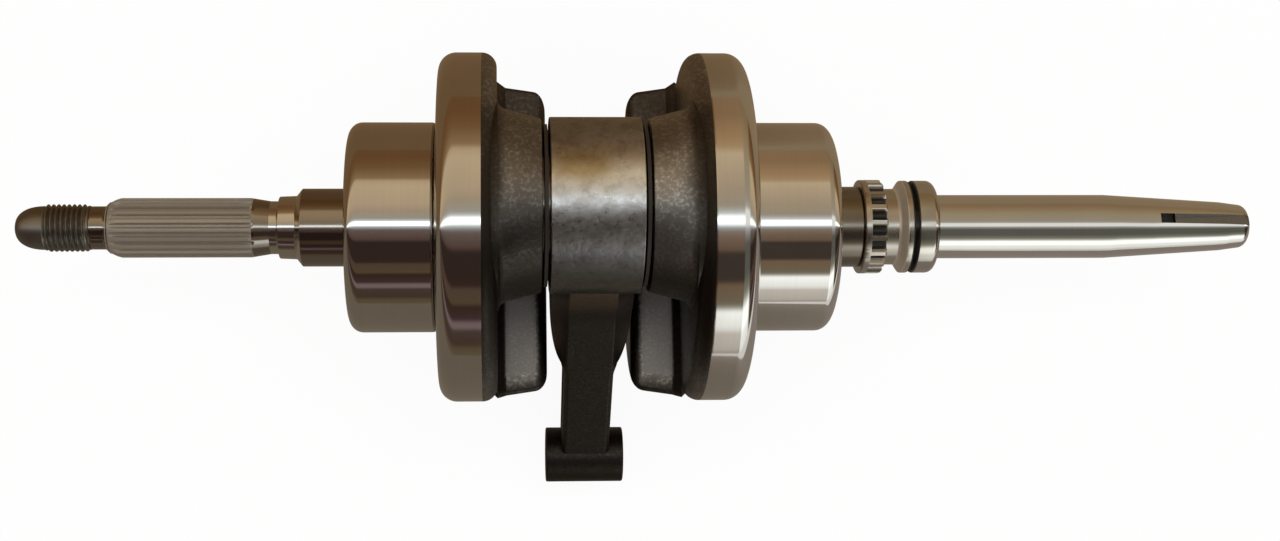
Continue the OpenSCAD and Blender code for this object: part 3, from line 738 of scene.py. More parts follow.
class CRANK_OT_counterweights(Operator):
    """Drafted sectors below the crank axis with a flat top and round inner edges"""
    bl_idname = "crank.counterweights"
    bl_label = "Counterweights"

    def execute(self, context):
        w = context.scene.crank_web
        web_inner = w.face - w.rim_width - w.edge_round
        face = ends("left_crank_half", LEFT)[0]
        # levels go from the inner face to the web, and inset is how far in each one's outline lies
        t = np.linspace(0, 1, 9) * QUARTER
        u = np.linspace(0.2, 1, 6)
        level = np.concatenate([face + w.weight_round * (1 - np.cos(t)),
                                np.linspace(face + w.weight_round, web_inner - w.weight_root_round, 8)[1:],
                                web_inner - w.weight_root_round * np.cos(u * QUARTER)])
        inset = np.concatenate([w.weight_round * (1 - np.sin(t)), np.zeros(7),
                                -w.weight_root_round * (1 - np.sin(QUARTER * (1 - u)))])
        draft = (level - face) / (web_inner - face)
        inside = w.weight_inset + (w.weight_root_inset - w.weight_inset) * draft
        rim = WEB_RADIUS - inside - np.maximum(inset, 0)
        rings = self.outline(level, rim, w.weight_drop + inset, w.weight_corner)
        # the inner face closes towards the sector's middle, and the last outline is sunk in the web
        middle = np.array([0, 0, -0.49 * (w.weight_drop + WEB_RADIUS)])
        cap = middle + (rings[0] - middle) * np.array([0.0, 0.3, 0.6, 0.85, 0.97])[:, None, None]
        cap[..., 0] = face
        sunk = rings[-1:] * [1, 0.96, 0.96] + [0.002, 0, 0]
        rings = np.concatenate([cap, rings, sunk])
        # the flat that faces -Y gets a lighter grey than the rest: painted light on that side only
        s, across, up = np.moveaxis(rings, -1, 0)
        widest = np.abs(across).max(axis=1, keepdims=True)
        plain = (s > face + 0.9 * w.weight_round) & (s < web_inner - 0.0022) & (up > -w.weight_drop - 0.0001)
        plain &= (across < 0) & (np.abs(across) < 0.92 * widest)
        unshaded = smooth(face + 0.6 * w.weight_round, face + 1.1 * w.weight_round, s)
        unshaded = unshaded * smooth(0, 0.0012, web_inner - 0.0018 - s)
        unshaded = unshaded * smooth(0, 0.0018, widest - np.abs(across) - 0.0012)
        most, back = 0.92, 0.84   # painted shade round the lit flat, and on the side that faces +Y
        # painted shade: darker round the lit flat and over the side that faces +Y
        soot = np.where(across < 0, most * (1 - unshaded), back)
        for side, name in SIDES:
            crank_skin(f"{name}_counterweight", side, rings, ("forged", "flat"), plain[:-1], {"soot": soot})
        return DONE

    @staticmethod
    def outline(level, rim, drop, corner):
        """A circle's lower segment with rounded corners, one for each level: a chord at -drop, a corner arc
        whose centre is a corner's radius below the chord and inside the rim, and the rim's own arc."""
        level, rim, drop = (v[:, None] for v in (level, rim, drop))
        centre_z = -drop - corner
        centre_y = np.sqrt((rim - corner) ** 2 - centre_z ** 2)
        chord = np.linspace(-1, 1, 25)[None, 1:-1] * centre_y
        meet = np.arctan2(centre_y, centre_z)
        right = polar(level, corner, np.linspace(0, 1, 9)[None] * meet) + together(0, centre_y, centre_z)
        arc = polar(level, rim, meet + np.linspace(0, 1, 65)[None, 1:-1] * (TURN - 2 * meet))
        left = right[:, ::-1] * [1, -1, 1]
        return np.concatenate([together(level, chord, -drop), right, arc, left], axis=1)


class CRANK_OT_drive_shaft(Operator):
    """Shoulder, land, relief and neck of the belt-drive end"""
    bl_idname = "crank.drive_shaft"
    bl_label = "Drive end"

    def execute(self, context):
        d, f, w = context.scene.crank_drive, context.scene.crank_flywheel, context.scene.crank_web
        bearing_in, bearing_out = ends("left_bearing_outer_ring", LEFT)
        journal = softened([
            (w.face - 0.001, w.step_radius), (bearing_in, w.step_radius), (bearing_in, f.seat),
            (bearing_out, f.seat), (bearing_out, d.shoulder), (d.shoulder_end, d.shoulder),
            (d.land_start, d.land + 0.0002), (d.land_end, d.land), (d.land_end + 0.0003, d.relief),
            (d.relief_end, d.relief), (d.relief_end + 0.0004, d.relief - 0.0012)],
            [0, 0.0003, 0.0003, 0, 0, 0.0004, 0.0004, 0.0003, 0.0004, 0, 0], steps=4)
        beyond = journal[:-1, 0] >= d.shoulder_end - 1e-6
        crank_skin("drive_journal", LEFT, turned(journal), ("dark", "rim"), beyond)
        neck = softened([
            (d.chamfer_end - 0.0006, d.neck + 0.0012), (d.chamfer_end, d.neck + 0.0004),
            (d.chamfer_end + 0.0008, d.neck), (d.thread_start - 0.0006, d.neck),
            (d.thread_start + 0.0002, d.neck - 0.0003)], [0, 0.0004, 0.0006, 0.0003, 0], steps=4)
        crank_skin("drive_neck", LEFT, turned(neck, 96), ("dark",))
        return DONE


class CRANK_OT_spline(Operator):
    """Spline of the belt-drive end, with its ramp and its chamfer"""
    bl_idname = "crank.spline"
    bl_label = "Spline"

    def execute(self, context):
        d = context.scene.crank_drive
        # shares of a tooth's pitch, from the middle of one space to the middle of the next, and how high
        # the tooth stands there
        share = np.array([0.0, 0.1, 0.16, 0.2, 0.29, 0.325, 0.36, 0.5, 0.64, 0.675, 0.71, 0.8, 0.84, 0.9])
        rise = np.array([0.0, 0.0, 0.06, 0.22, 0.86, 0.98, 1.0, 1.0, 1.0, 0.98, 0.86, 0.22, 0.06, 0.0])
        angle = ((np.arange(d.teeth)[:, None] + 0.5 + share) * TURN / d.teeth).ravel()
        s = run(d.relief_end, (d.spline_start, 14), (d.spline_end, 24), (d.chamfer_end, 12))
        # the radius is the lowest of the ramp, the chamfer and the tooth's own height
        climb = np.clip((s - d.relief_end) / (d.spline_start - d.relief_end), 0, 1)
        fall = np.clip((s - d.spline_end) / (d.chamfer_end - d.spline_end), 0, 1)
        bulge = 1.4   # power that makes the chamfer slightly round
        envelope = np.minimum(d.relief + (d.spline - d.relief) * climb,
                              d.spline - (d.spline - d.thread) * fall ** bulge)
        cut = d.spline_depth * smooth(d.spline_start - 0.0015, d.spline_start + 0.0005, s)
        r = np.minimum(envelope[:, None], d.spline - cut[:, None] * (1 - np.tile(rise, d.teeth)))
        rings = polar(s[:, None], r, angle)
        # both ends step down into the relief and the neck
        rings = np.concatenate([rings[:1] * [1, 0.8, 0.8], rings, rings[-1:] * [1, 0.82, 0.82]])
        crank_skin("drive_spline", LEFT, rings, ("satin", "dark"), rings[:-1, 0, 0] < d.spline_start - 0.001)
        return DONE


class CRANK_OT_thread(Operator):
    """Right-hand thread for the drive nut and the domed nose"""
    bl_idname = "crank.thread"
    bl_label = "Thread"

    def execute(self, context):
        d = context.scene.crank_drive
        nose = ends("left_crank_half", LEFT)[1]
        columns, depth = 96, 0.6 * d.pitch
        root = d.thread - depth
        s = np.linspace(d.thread_start, d.thread_end, 130)[:, None]
        angle = (np.arange(columns) * TURN / columns)[None]
        # a V wave that moves one pitch along the shaft in one turn, with its crests cut flat
        phase = np.mod(s / d.pitch - angle / TURN, 1)
        wave = np.clip(1.12 * (1 - np.abs(2 * phase - 1)) - 0.04, 0, 0.96)
        fade = smooth(d.thread_start, d.thread_start + d.pitch, s)
        fade = fade * (1 - smooth(d.thread_end - 0.8 * d.pitch, d.thread_end, s))
        plain = 0.35               # height of the ends without thread, as a share of its depth
        slim, full = 0.96, 0.72    # powers that make the dome blunter than a sphere
        r = root + depth * (wave * fade + plain * (1 - fade))
        t = np.linspace(0, 1, 15)[1:] * QUARTER
        dome = together(d.thread_end + (nose - d.thread_end) * np.sin(t) ** slim,
                        r[-1].mean() * np.cos(t) ** full)
        dome[-1, 1] = 0
        start = turned([(d.thread_start - 0.0004, root - 0.0012)], columns)
        rings = np.concatenate([start, polar(s, r, angle), turned(dome, columns)])
        crank_skin("drive_thread", LEFT, rings, ("thread",))
        return DONE


class CRANK_OT_flywheel_shaft(Operator):
    """Long ground shaft, taper, blunt nose, keyway and tapped hole of the flywheel end"""
    bl_idname = "crank.flywheel_shaft"
    bl_label = "Flywheel end"

    def execute(self, context):
        f, w = context.scene.crank_flywheel, context.scene.crank_web
        bearing_in, bearing_out = ends("right_bearing_outer_ring", RIGHT)
        sprocket_in = ends("timing_sprocket", RIGHT)[0]
        collar_out = ends("seal_collar", RIGHT)[1]
        tail = ends("right_crank_half", RIGHT)[1]
        key_start = tail - f.key_length
        pocket_end = key_start + f.pocket_length
        nose_start = tail - f.nose_round

        def radius(s):
            """The shaft's radius past the collar: plain, then the taper, then the nose's cone."""
            return np.interp(s, [f.taper_start, f.taper_end, tail], [f.shaft, f.taper_radius, f.nose_radius])

        near = softened([
            (w.face - 0.001, w.step_radius), (bearing_in, w.step_radius), (bearing_in, f.seat),
            (bearing_out, f.seat), (bearing_out, f.hub), (sprocket_in, f.hub), (sprocket_in, f.press_seat),
            (collar_out, f.press_seat), (collar_out, f.shaft), (f.taper_start - 0.006, f.shaft)],
            [0, 0.0003, 0.0003, 0, 0, 0.0004, 0, 0, 0, 0], steps=4)
        a = np.linspace(0, QUARTER, 8)[1:]
        nose = together(nose_start + f.nose_round * np.sin(a),
                        radius(nose_start) - f.nose_round * (1 - np.cos(a)))
        mouth = softened([
            (tail, nose[-1, 1]), (tail, f.hole + 0.0006), (tail - 0.0006, f.hole),
            (tail - f.hole_depth, f.hole), (tail - f.hole_depth - 0.0015, 0)],
            [0, 0.0001, 0.0001, 0, 0], steps=3)[3:]
        # stretches of the profile, each with how far from the axis the keyway's floor is there
        plain = f.taper_start + np.array([-0.003, 0, 0.003])
        stretches = [(near, np.inf)]
        for s, floor in ((np.append(plain, [key_start - 0.002, key_start]), np.inf),
                         (np.linspace(key_start, pocket_end, 4), f.pocket_floor),
                         (run(pocket_end, (f.taper_end, 6), (nose_start, 4)), f.key_floor)):
            stretches.append((together(s, radius(s)), floor))
        stretches += [(nose, f.key_floor), (mouth, np.inf)]
        s, r = np.concatenate([points for points, _ in stretches]).T
        floor = np.concatenate([np.full(len(points), depth) for points, depth in stretches])
        rings = self.slotted(s, r, floor, f.key_width / 2)
        chosen = np.zeros((len(rings) - 1, rings.shape[1]), int)
        chosen[-len(mouth) + 2:] = 1
        chosen[np.isfinite(floor[1:]), :8] = 2
        # the keyway's deep pocket gets painted shade
        chosen[floor[1:] == f.pocket_floor, :8] = 3
        # the hub between the right bearing and the sprocket gets the darker hub steel
        chosen[(s[:-1] > bearing_out - WELD) & (s[1:] < sprocket_in + WELD)] = 4
        crank_skin("flywheel_shaft", RIGHT, rings, ("bright", "dark", "slot", "grime", "hub"), chosen,
                   turn=PIN_TURN + f.key_turn)
        return DONE

    @staticmethod
    def slotted(s, r, floor, half):
        """Rings with a slot of constant width on top. Across the slot the points keep their place sideways
        and stand on the circle or on the slot's floor, whichever is lower; the others share the rest of the
        circle evenly. Each slot wall is a pair of points at the same place sideways."""
        s, r, floor = (v[:, None] for v in (s, r, floor))
        w = np.minimum(half, 0.999 * r)
        y = np.linspace(-1, 1, 9)[None] * w
        circle = np.sqrt(np.maximum(r ** 2 - y ** 2, 0))
        edge = np.arcsin(np.clip(w / np.maximum(r, 1e-9), -1, 1))
        rest = polar(s, r, edge + np.linspace(0, 1, 112)[None] * (TURN - 2 * edge))
        return np.concatenate([together(s, y, np.minimum(circle, floor)), rest], axis=1)


class CRANK_OT_bearing_rings(Operator):
    """Outer and inner rings of both main bearings, with their race grooves"""
    bl_idname = "crank.bearing_rings"
    bl_label = "Bearing rings"

    def execute(self, context):
        b, seat = context.scene.crank_bearing, context.scene.crank_flywheel.seat
        bore, wall = b.orbit + b.race_wall, b.orbit - b.race_wall
        for side, name in SIDES:
            outer, inner = f"{name}_bearing_outer_ring", f"{name}_bearing_inner_ring"
            (near, far), radius = ends(outer, side), radius_of(outer)
            steps = 9
            outside = softened(
                [(near, bore), (near, radius), (far, radius), (far, bore), (far - 0.001, bore)],
                [0, b.inner_round, b.outer_round, 0.0004, 0], steps)[steps - 1:4 * steps + 1]
            profile = np.concatenate([outside, self.grooves((near + far) / 2, b, 1)[::-1], [(near, bore)]])
            crank_skin(f"{name}_outer_ring", side, turned(profile, 192), ("bright",),
                       rides=(f"{name}_outer_ring", "ring_steel", outer))
            profile = np.concatenate([[(near, seat), (near, wall)], self.grooves((near + far) / 2, b, -1),
                                      [(far, wall), (far, seat), (near, seat)]])
            crank_skin(f"{name}_inner_ring", side, turned(profile), ("bright",),
                       rides=("crank", "ring_steel", inner))
        return DONE

    @staticmethod
    def grooves(middle, b, way):
        """Both race grooves in half section: arcs about the balls' centres, cut by the ring's wall."""
        open_half = math.acos(b.race_wall / b.ball)
        a = np.linspace(-open_half, open_half, 9)
        return np.concatenate([together(middle + row + b.ball * np.sin(a), b.orbit + way * b.ball * np.cos(a))
                               for row in (-b.row, b.row)])


class CRANK_OT_sprocket(Operator):
    """Timing sprocket with its neck and end ring"""
    bl_idname = "crank.sprocket"
    bl_label = "Timing sprocket"

    def execute(self, context):
        p = context.scene.crank_sprocket
        (start, end), tip = ends("timing_sprocket", RIGHT), radius_of("timing_sprocket")
        pitch = TURN / p.teeth
        # one tooth space: a round seat, flanks that open by half its width, and the tip circle's share
        a = np.linspace(-QUARTER, QUARTER, 7)
        seat = together(p.space * np.sin(a), p.root + p.space - p.space * np.cos(a))
        lean, flat = 1.5 * p.space, 0.00018
        flank = [(lean - 0.0001, math.sqrt((tip - 0.0003) ** 2 - lean ** 2)),
                 (lean + flat, math.sqrt(tip ** 2 - lean ** 2))]
        rest = np.linspace(math.atan2(lean + flat, flank[1][1]), pitch / 2, 4)[1:]
        right = np.concatenate([flank, tip * together(np.sin(rest), np.cos(rest))])
        period = np.concatenate([right[-2::-1] * [-1, 1], seat, right])
        turn = np.arange(p.teeth)[:, None] * pitch
        y = (period[:, 0] * np.cos(turn) + period[:, 1] * np.sin(turn)).ravel()
        z = (period[:, 1] * np.cos(turn) - period[:, 0] * np.sin(turn)).ravel()
        angle, toothed = np.arctan2(y, z), np.hypot(y, z)

        def rows(points, radii):
            """Plain rings of a softened profile: their stations, and their radii at every angle."""
            soft = softened(points, radii, steps=4)
            return soft[:, 0], soft[:, 1, None] * np.ones_like(angle)

        parts = [rows([(end, p.bore), (start, p.bore), (start, tip), (p.tooth_start, tip)],
                      [0, 0.0002, 0.0004, 0]),
                 ([p.tooth_start, p.tooth_start + 0.0001, p.tooth_end - 0.0004, p.tooth_end],
                  [toothed, toothed, toothed, np.minimum(toothed, tip - 0.0004)]),
                 rows([(p.tooth_end, p.neck), (p.cone_start, p.neck), (p.ring_start, p.ring), (end, p.ring),
                       (end, p.bore)], [0, 0.0012, 0.0004, 0.0006, 0])]
        s = np.concatenate([part[0] for part in parts])[:, None]
        r = np.concatenate([part[1] for part in parts])
        # painted shade lies between the teeth and in the groove beside the collar, and the cone is satin
        deep = (r[:-1] < tip - 0.0012) & (s[:-1] >= p.tooth_start) & (s[1:] <= p.tooth_end)
        groove = (r[:-1] > p.bore + 0.0001) & (s[:-1] > end - 0.0007) & (s[1:] > end - 0.0007)
        cone = (s[:-1] > p.cone_start - 0.0009) & (s[1:] < p.ring_start + 0.0003)
        crank_skin("sprocket", RIGHT, polar(s, r, angle), ("sprocket", "grime", "cone"),
                   np.where(cone, 2, deep | groove), rides=("crank", "sprocket_steel", "timing_sprocket"),
                   turn=PIN_TURN + p.turn)
        return DONE


class CRANK_OT_collar(Operator):
    """Seal collar pressed on next to the sprocket"""
    bl_idname = "crank.collar"
    bl_label = "Seal collar"

    def execute(self, context):
        p = context.scene.crank_sprocket
        (start, end), r = ends("seal_collar", RIGHT), radius_of("seal_collar")
        profile = softened([(end, p.bore), (start, p.bore), (start, r), (end, r), (end, p.bore)],
                           [0, 0.0002, 0.0005, p.collar_round, 0], steps=8)
        # painted shade in the groove between the collar and the sprocket
        groove = (profile[:-1, 0] < start + 0.0005) & (profile[1:, 0] < start + 0.0006)
        crank_skin("collar", RIGHT, turned(profile), ("collar", "grime"), groove,
                   rides=("crank", "collar_steel", "seal_collar"))
        return DONE


# ---------------------------------------------------------------- connecting rod

class CRANK_OT_rod(Operator):
    """Connecting rod: ground big end, flared forged shank with its recesses, and small end"""
    bl_idname = "crank.rod"
    bl_label = "Connecting rod"

    def execute(self, context):
        r = context.scene.crank_rod
        self.eye("rod_big_end", r.big_bore, r.big_radius, r.big_width / 2, 0.0, 0.0004, "big_end")
        self.eye("rod_small_end", r.small_bore, r.small_radius, r.small_width / 2, -ROD_LENGTH, 0.0005, "rod")
        self.shank(r)
        return DONE

    @staticmethod
    def eye(name, bore, radius, half, height, edge, key):
        """A ring about an axis along X at the given height in the rod's frame."""
        profile = softened(
            [(0, bore), (-half, bore), (-half, radius), (half, radius), (half, bore), (0, bore)],
            [0, edge, edge, edge, edge, 0])
        rings = turned(profile, 144) + [0, 0, height]
        # painted shade by angle round the eye's axis
        rod_skin(name, rings, (key,), {"soot": around(rings, height, EYE_SHADE, ROD_TURN)})

    @staticmethod
    def shank(r):
        """An H-shaped outline, whose front corners lean back in the flare, carried down the rod. Its width
        falls along a quarter ellipse in the flare, its depth falls evenly, and the recess in each side fades
        in past the flare and out at the small end."""
        start, end = r.big_bore + 0.001, ROD_LENGTH - r.small_bore - 0.0006
        slim = r.shank_width / 2
        t = run(start, (r.flare_start, 8), (r.flare_end + 0.006, 26), (end, 30))
        fall = np.clip((t - r.flare_start) / (r.flare_end - r.flare_start), 0, 1)
        inside, blunt = 0.0006, 2.2   # how far inside the big end the flare starts, and its ellipse's power
        half_w = slim + (r.big_width / 2 - inside - slim) * np.sqrt(1 - fall ** blunt)
        half_w = np.maximum(half_w, slim + 0.0012 * (1 - smooth(r.flare_end - 0.002, r.flare_end + 0.005, t)))
        half_d = (r.depth_big + (r.depth_small - r.depth_big) * (t - start) / (end - start)) / 2
        half_d = half_d + 0.004 * (1 - smooth(start, r.big_radius + 0.012, t))
        dig = r.recess * smooth(r.flare_end - 0.012, r.flare_end + 0.004, t)
        dig = dig * (1 - smooth(end - 0.012, end - 0.004, t))
        narrow = np.minimum(half_w - 0.0012, slim - 0.0006)
        lean = 0.9 * (half_w - narrow)
        flange = np.minimum(half_d - np.maximum(0.0032, lean + 0.0015), half_d * 0.62)
        x, d, h, k, f, e = (v[:, None] for v in (half_w, half_d, flange, dig, narrow, lean))
        slope = 0.0008
        half = [(f, -d), (x, -d + e), (x, -h), (x - k, -h + slope), (x - k, h - slope), (x, h), (x, d)]
        corners = [together(a, b) for a, b in half] + [together(-a, b) for a, b in half[::-1]]
        radii = [0.001, 0.0014, 0.0008, 0.0012, 0.0012, 0.0008, 0.0016]
        outline = softened(np.concatenate(corners, axis=1), radii + radii[::-1], closed=True)
        # the flare's leaning flanks, fully on the -X side and half on the other, and the shank's root get
        # painted light as a brown
        across, t = outline[..., 0], t[:, None]
        flank = smooth(0, 0.0012, np.abs(across) - f) * smooth(0, 0.3, 1 - fall[:, None])
        root = 0.42 * (1 - smooth(r.big_radius, r.big_radius + 0.008, t))
        rod_skin("rod_shank", together(across, outline[..., 1], -t), ("rod",),
                 {"bare": np.maximum(flank * np.where(across < 0, 1.0, 0.5), root)})


class CRANK_OT_small_parts(Operator):
    """Finishes of the crankpin, washers, rollers, balls and cages, which keep their packed shapes"""
    bl_idname = "crank.small_parts"
    bl_label = "Small parts"

    def execute(self, context):
        finishes = {"crankpin": "pin", "crankpin_plugs": "pin", "left_thrust_washer": "washer",
                    "right_thrust_washer": "washer", "big_end_cage": "cage", "big_end_rollers": "balls"}
        for _, side in SIDES:
            for row in ("outboard", "inboard"):
                finishes[f"{side}_bearing_{row}_balls"] = "balls"
                finishes[f"{side}_bearing_{row}_cage"] = "brass"
        for name, key in finishes.items():
            held = frame["nodes"][name]
            if not held.material_slots:
                held.data.materials.append(finish(key))
            for slot in held.material_slots:
                slot.material = finish(key)
        return DONE


# ---------------------------------------------------------------- stage

# the room as polished steel shows it, by the angle from straight up towards +Y, in degrees
ROOM_LEFT = [(-180, (0.3, 0.26, 0.22)), (-128, (0.21, 0.17, 0.14)), (-104, (0.18, 0.145, 0.1)),
             (-86, (0.145, 0.11, 0.065)), (-82, (0.085, 0.055, 0.04)), (-71, (0.09, 0.065, 0.055)),
             (-69, (0.25, 0.19, 0.2)), (-65, (0.25, 0.19, 0.2)), (-63, (0.08, 0.045, 0.045)),
             (-53, (0.05, 0.03, 0.02)), (-51, (0.13, 0.09, 0.055)), (-41, (0.115, 0.08, 0.055)),
             (-39, (0.05, 0.03, 0.025)), (-17, (0.045, 0.03, 0.025)), (-14, (0.13, 0.085, 0.07)),
             (-4, (0.2, 0.15, 0.14)), (-2, (0.38, 0.4, 0.42)), (0, (0.9, 1.0, 1.08)), (1, (2.9, 3.15, 3.3)),
             (4.5, (2.9, 3.15, 3.3)), (5.5, (1.0, 1.1, 1.15)), (8, (0.5, 0.5, 0.45)),
             (16, (0.56, 0.46, 0.33)), (24, (0.68, 0.54, 0.37)), (44, (0.75, 0.6, 0.4)),
             (50, (0.68, 0.52, 0.33)), (53, (0.38, 0.25, 0.13)), (66, (0.25, 0.14, 0.06)),
             (80, (0.2, 0.1, 0.04)), (112, (0.2, 0.11, 0.055)), (136, (0.25, 0.18, 0.1)),
             (180, (0.4, 0.34, 0.25))]
ROOM_RIGHT = [(-180, (0.5, 0.46, 0.42)), (-136, (0.32, 0.28, 0.25)), (-104, (0.3, 0.25, 0.21)),
              (-92, (0.42, 0.37, 0.33)), (-88, (0.7, 0.68, 0.62)), (-74, (0.86, 0.82, 0.76)),
              (-72, (1.1, 1.12, 1.1)), (-69, (1.3, 1.38, 1.38)), (-58, (1.6, 1.7, 1.7)),
              (-55, (0.62, 0.64, 0.6)), (-53, (0.3, 0.26, 0.2)), (-50, (0.24, 0.2, 0.14)),
              (-39, (0.25, 0.17, 0.11)), (-36, (0.07, 0.055, 0.045)), (-18, (0.07, 0.055, 0.045)),
              (-16, (0.2, 0.14, 0.1)), (-9, (0.27, 0.19, 0.14)), (-4, (0.34, 0.28, 0.24)),
              (-1, (0.6, 0.65, 0.68)), (1, (2.3, 2.6, 2.75)), (5, (2.3, 2.6, 2.75)), (6.5, (1.0, 1.1, 1.15)),
              (9, (0.68, 0.7, 0.68)), (12, (0.5, 0.45, 0.36)), (24, (0.58, 0.47, 0.34)),
              (47, (0.76, 0.62, 0.42)), (51, (0.6, 0.42, 0.24)), (58, (0.52, 0.34, 0.18)),
              (75, (0.38, 0.24, 0.13)), (100, (0.36, 0.24, 0.14)), (130, (0.4, 0.31, 0.23)),
              (180, (0.6, 0.55, 0.48))]
ROOM_SHAFT = [(-180, (0.5, 0.49, 0.48)), (-102, (0.47, 0.46, 0.44)), (-97, (0.7, 0.74, 0.7)),
              (-92, (1.2, 1.3, 1.28)), (-76, (1.4, 1.5, 1.5)), (-70, (1.9, 2.0, 2.0)),
              (-58, (1.9, 2.0, 2.0)), (-54, (1.2, 1.3, 1.3)), (-49, (0.55, 0.56, 0.5)),
              (-44, (0.3, 0.3, 0.25)), (-32, (0.15, 0.16, 0.14)), (-12, (0.15, 0.155, 0.14)),
              (-6, (0.36, 0.38, 0.38)), (-2, (0.6, 0.62, 0.62)), (0, (1.2, 1.26, 1.26)),
              (10, (1.2, 1.26, 1.26)), (12, (0.6, 0.6, 0.56)), (18, (0.5, 0.44, 0.35)),
              (48, (0.47, 0.39, 0.26)), (64, (0.42, 0.3, 0.17)), (80, (0.34, 0.24, 0.13)),
              (104, (0.34, 0.24, 0.13)), (128, (0.37, 0.29, 0.22)), (180, (0.55, 0.48, 0.42))]
ROOM_PEAK = 3.5        # the ramps hold shares of this level


def light(tree, kind, colour, level):
    """A Background or Emission node's output."""
    return node(tree, kind, ins={"Color": colour, "Strength": level}).outputs[0]


def either(tree, share, first, second):
    """A Mix Shader's output: first where share is 0 and second where it is 1."""
    return node(tree, "ShaderNodeMixShader", ins={0: share, 1: first, 2: second}).outputs[0]


def surfaced(holder, output, shader):
    """Gives a new world or material the shader that a function makes in its tree."""
    holder.use_nodes = True
    tree = holder.node_tree
    tree.nodes.clear()
    tree.links.new(shader(tree), node(tree, output).inputs["Surface"])
    return holder


def room(tree):
    """Plain white to the camera, a plain level to matt surfaces and a banded room to polished ones. The
    bands follow the direction's angle from straight up towards +Y."""
    _, x, y, z = coordinates(tree, "Generated")
    share = plus(tree, maths(tree, "DIVIDE", maths(tree, "ARCTAN2", y, z), TURN), 0.5)
    left, right, shaft = (
        ramp(tree, share, [((a + 180) / 360, tuple(c / ROOM_PEAK for c in colour)) for a, colour in stops])
        for stops in (ROOM_LEFT, ROOM_RIGHT, ROOM_SHAFT))
    bands = left
    for low, high, beyond in ((0.09, 0.115, right), (0.207, 0.228, shaft), (0.64, 0.72, left)):
        bands = blended(tree, ranged(tree, x, low, high), bands, beyond)
    path = node(tree, "ShaderNodeLightPath").outputs
    white, plain, banded = (
        light(tree, "ShaderNodeBackground", colour, level)
        for colour, level in (((1, 1, 1, 1), 1.0),
                              ((1.0, 0.98, 0.95, 1), bpy.context.scene.crank_stage.light),
                              (bands, ROOM_PEAK)))
    return either(tree, path["Is Camera Ray"], either(tree, path["Is Glossy Ray"], plain, banded), white)


def bench(tree):
    """What polished surfaces see below them: a brown bench that is paler towards the flywheel end, greyer
    towards -Y and covered with white paper beyond it there."""
    _, x, y, _ = coordinates(tree)
    across = ranged(tree, y, -0.03, 0.03)
    near = blended(tree, across, (0.2, 0.17, 0.13, 1), (0.21, 0.13, 0.065, 1))
    far = blended(tree, across, (0.34, 0.3, 0.27, 1), (0.36, 0.27, 0.17, 1))
    paper = times(tree, ranged(tree, x, 0.25, 0.28), ranged(tree, y, -0.29, -0.33))
    wood = blended(tree, ranged(tree, x, 0.08, 0.2), near, far)
    return light(tree, "ShaderNodeEmission", blended(tree, paper, wood, (1, 1, 1, 1)), 1.0)


def white_floor(tree):
    """A matt white floor. What the camera and polished surfaces see of it is lifted to white, apart from a
    share that keeps the object's shadow."""
    path = node(tree, "ShaderNodeLightPath").outputs
    seen = maths(tree, "MAXIMUM", path["Is Camera Ray"],
                 maths(tree, "MAXIMUM", path["Is Glossy Ray"], path["Is Transmission Ray"]))
    matt = node(tree, "ShaderNodeBsdfDiffuse", ins={"Color": (0.9, 0.9, 0.9, 1)}).outputs[0]
    lit = light(tree, "ShaderNodeEmission", (1, 1, 1, 1), 1.0)
    lifted = 0.93
    return either(tree, times(tree, seen, lifted), matt, lit)


def sheet(name, height, look, shader):
    """A wide level sheet for the stage."""
    wide = 3.0
    mesh = bpy.data.meshes.new(name)
    mesh.from_pydata([(wide * x, wide * y, height) for x, y in ((-1, -1), (1, -1), (1, 1), (-1, 1))],
                     [], [(0, 1, 2, 3)])
    mesh.materials.append(surfaced(bpy.data.materials.new(look), "ShaderNodeOutputMaterial", shader))
    made = bpy.data.objects.new(name, mesh)
    bpy.context.scene.collection.objects.link(made)
    return made


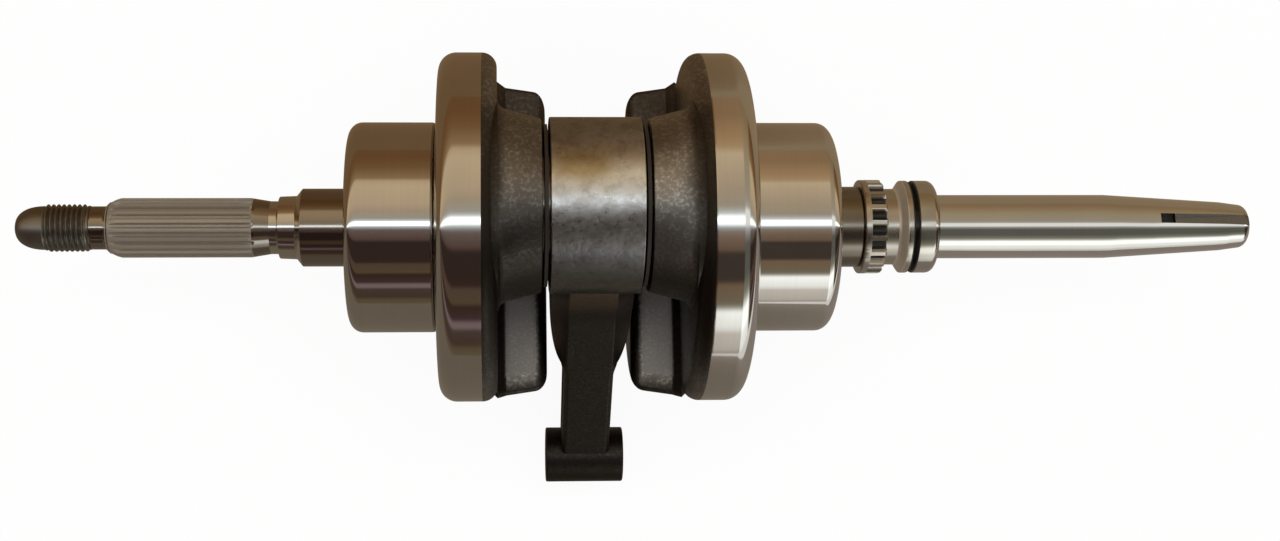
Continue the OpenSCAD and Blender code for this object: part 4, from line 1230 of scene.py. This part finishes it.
class CRANK_OT_stage(Operator):
    """White floor, the room's reflections, a card for the bench's colour, a soft lamp and the camera"""
    bl_idname = "crank.stage"
    bl_label = "Stage"

    def execute(self, context):
        scene, s = context.scene, context.scene.crank_stage
        scene.view_settings.view_transform = "Standard"
        scene.world = surfaced(bpy.data.worlds.new("Room"), "ShaderNodeOutputWorld", room)
        scene.world.cycles.sampling_method = "NONE"
        sheet("floor", FLOOR_LEVEL, "White floor", white_floor)
        above = 0.0002   # keeps the card clear of the floor
        card = sheet("bench_card", FLOOR_LEVEL + above, "Bench card", bench)
        card.visible_camera = card.visible_diffuse = card.visible_shadow = False
        lamp = bpy.data.lights.new("softbox", "AREA")
        lamp.shape, lamp.size, lamp.size_y, lamp.energy = "RECTANGLE", 0.9, 0.3, 2.0
        holder = bpy.data.objects.new("softbox", lamp)
        holder.location = (0.07, 0.25, 0.9)
        holder.rotation_euler = (math.radians(-15), 0, 0)
        holder.visible_camera = holder.visible_glossy = False
        camera = bpy.data.cameras.new("camera")
        camera.lens, camera.shift_x, camera.clip_start, camera.clip_end = s.lens, s.shift, 0.01, 50
        seat = bpy.data.objects.new("camera", camera)
        seat.location = (s.along, s.across, s.distance)
        seat.rotation_euler = (0, -s.yaw, s.roll)
        for made in (holder, seat):
            scene.collection.objects.link(made)
        scene.camera = seat
        return DONE


# ---------------------------------------------------------------- panel and registration

STEPS = (CRANK_OT_webs, CRANK_OT_bosses, CRANK_OT_counterweights, CRANK_OT_drive_shaft, CRANK_OT_spline,
         CRANK_OT_thread, CRANK_OT_flywheel_shaft, CRANK_OT_bearing_rings, CRANK_OT_sprocket, CRANK_OT_collar,
         CRANK_OT_rod, CRANK_OT_small_parts, CRANK_OT_stage)
SETTINGS = {"crank_web": CrankWebSettings, "crank_drive": DriveEndSettings,
            "crank_flywheel": FlywheelEndSettings, "crank_sprocket": SprocketSettings,
            "crank_bearing": BearingSettings, "crank_rod": RodSettings,
            "crank_finish": FinishSettings, "crank_stage": StageSettings}


class CRANK_PT_panel(Panel):
    """The crankshaft's pieces and their settings."""
    bl_idname = "CRANK_PT_panel"
    bl_label = "Crankshaft"
    bl_space_type = "VIEW_3D"
    bl_region_type = "UI"
    bl_category = "Crankshaft"

    def draw(self, context):
        column = self.layout.column()
        for step in STEPS:
            column.operator(step.bl_idname)
        for name, settings in SETTINGS.items():
            box = column.box()
            box.label(text=settings.__doc__)
            for key in settings.__annotations__:
                box.prop(getattr(context.scene, name), key)


def register():
    for cls in (*SETTINGS.values(), *STEPS, CRANK_PT_panel):
        bpy.utils.register_class(cls)
    for name, settings in SETTINGS.items():
        setattr(bpy.types.Scene, name, PointerProperty(type=settings))


def unregister():
    for name in SETTINGS:
        delattr(bpy.types.Scene, name)
    for cls in (CRANK_PT_panel, *reversed(STEPS), *reversed(SETTINGS.values())):
        bpy.utils.unregister_class(cls)


def main():
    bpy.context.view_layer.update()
    register()
    for step in STEPS:
        space, name = step.bl_idname.split(".")
        getattr(getattr(bpy.ops, space), name)()


if __name__ == "__main__":
    main()
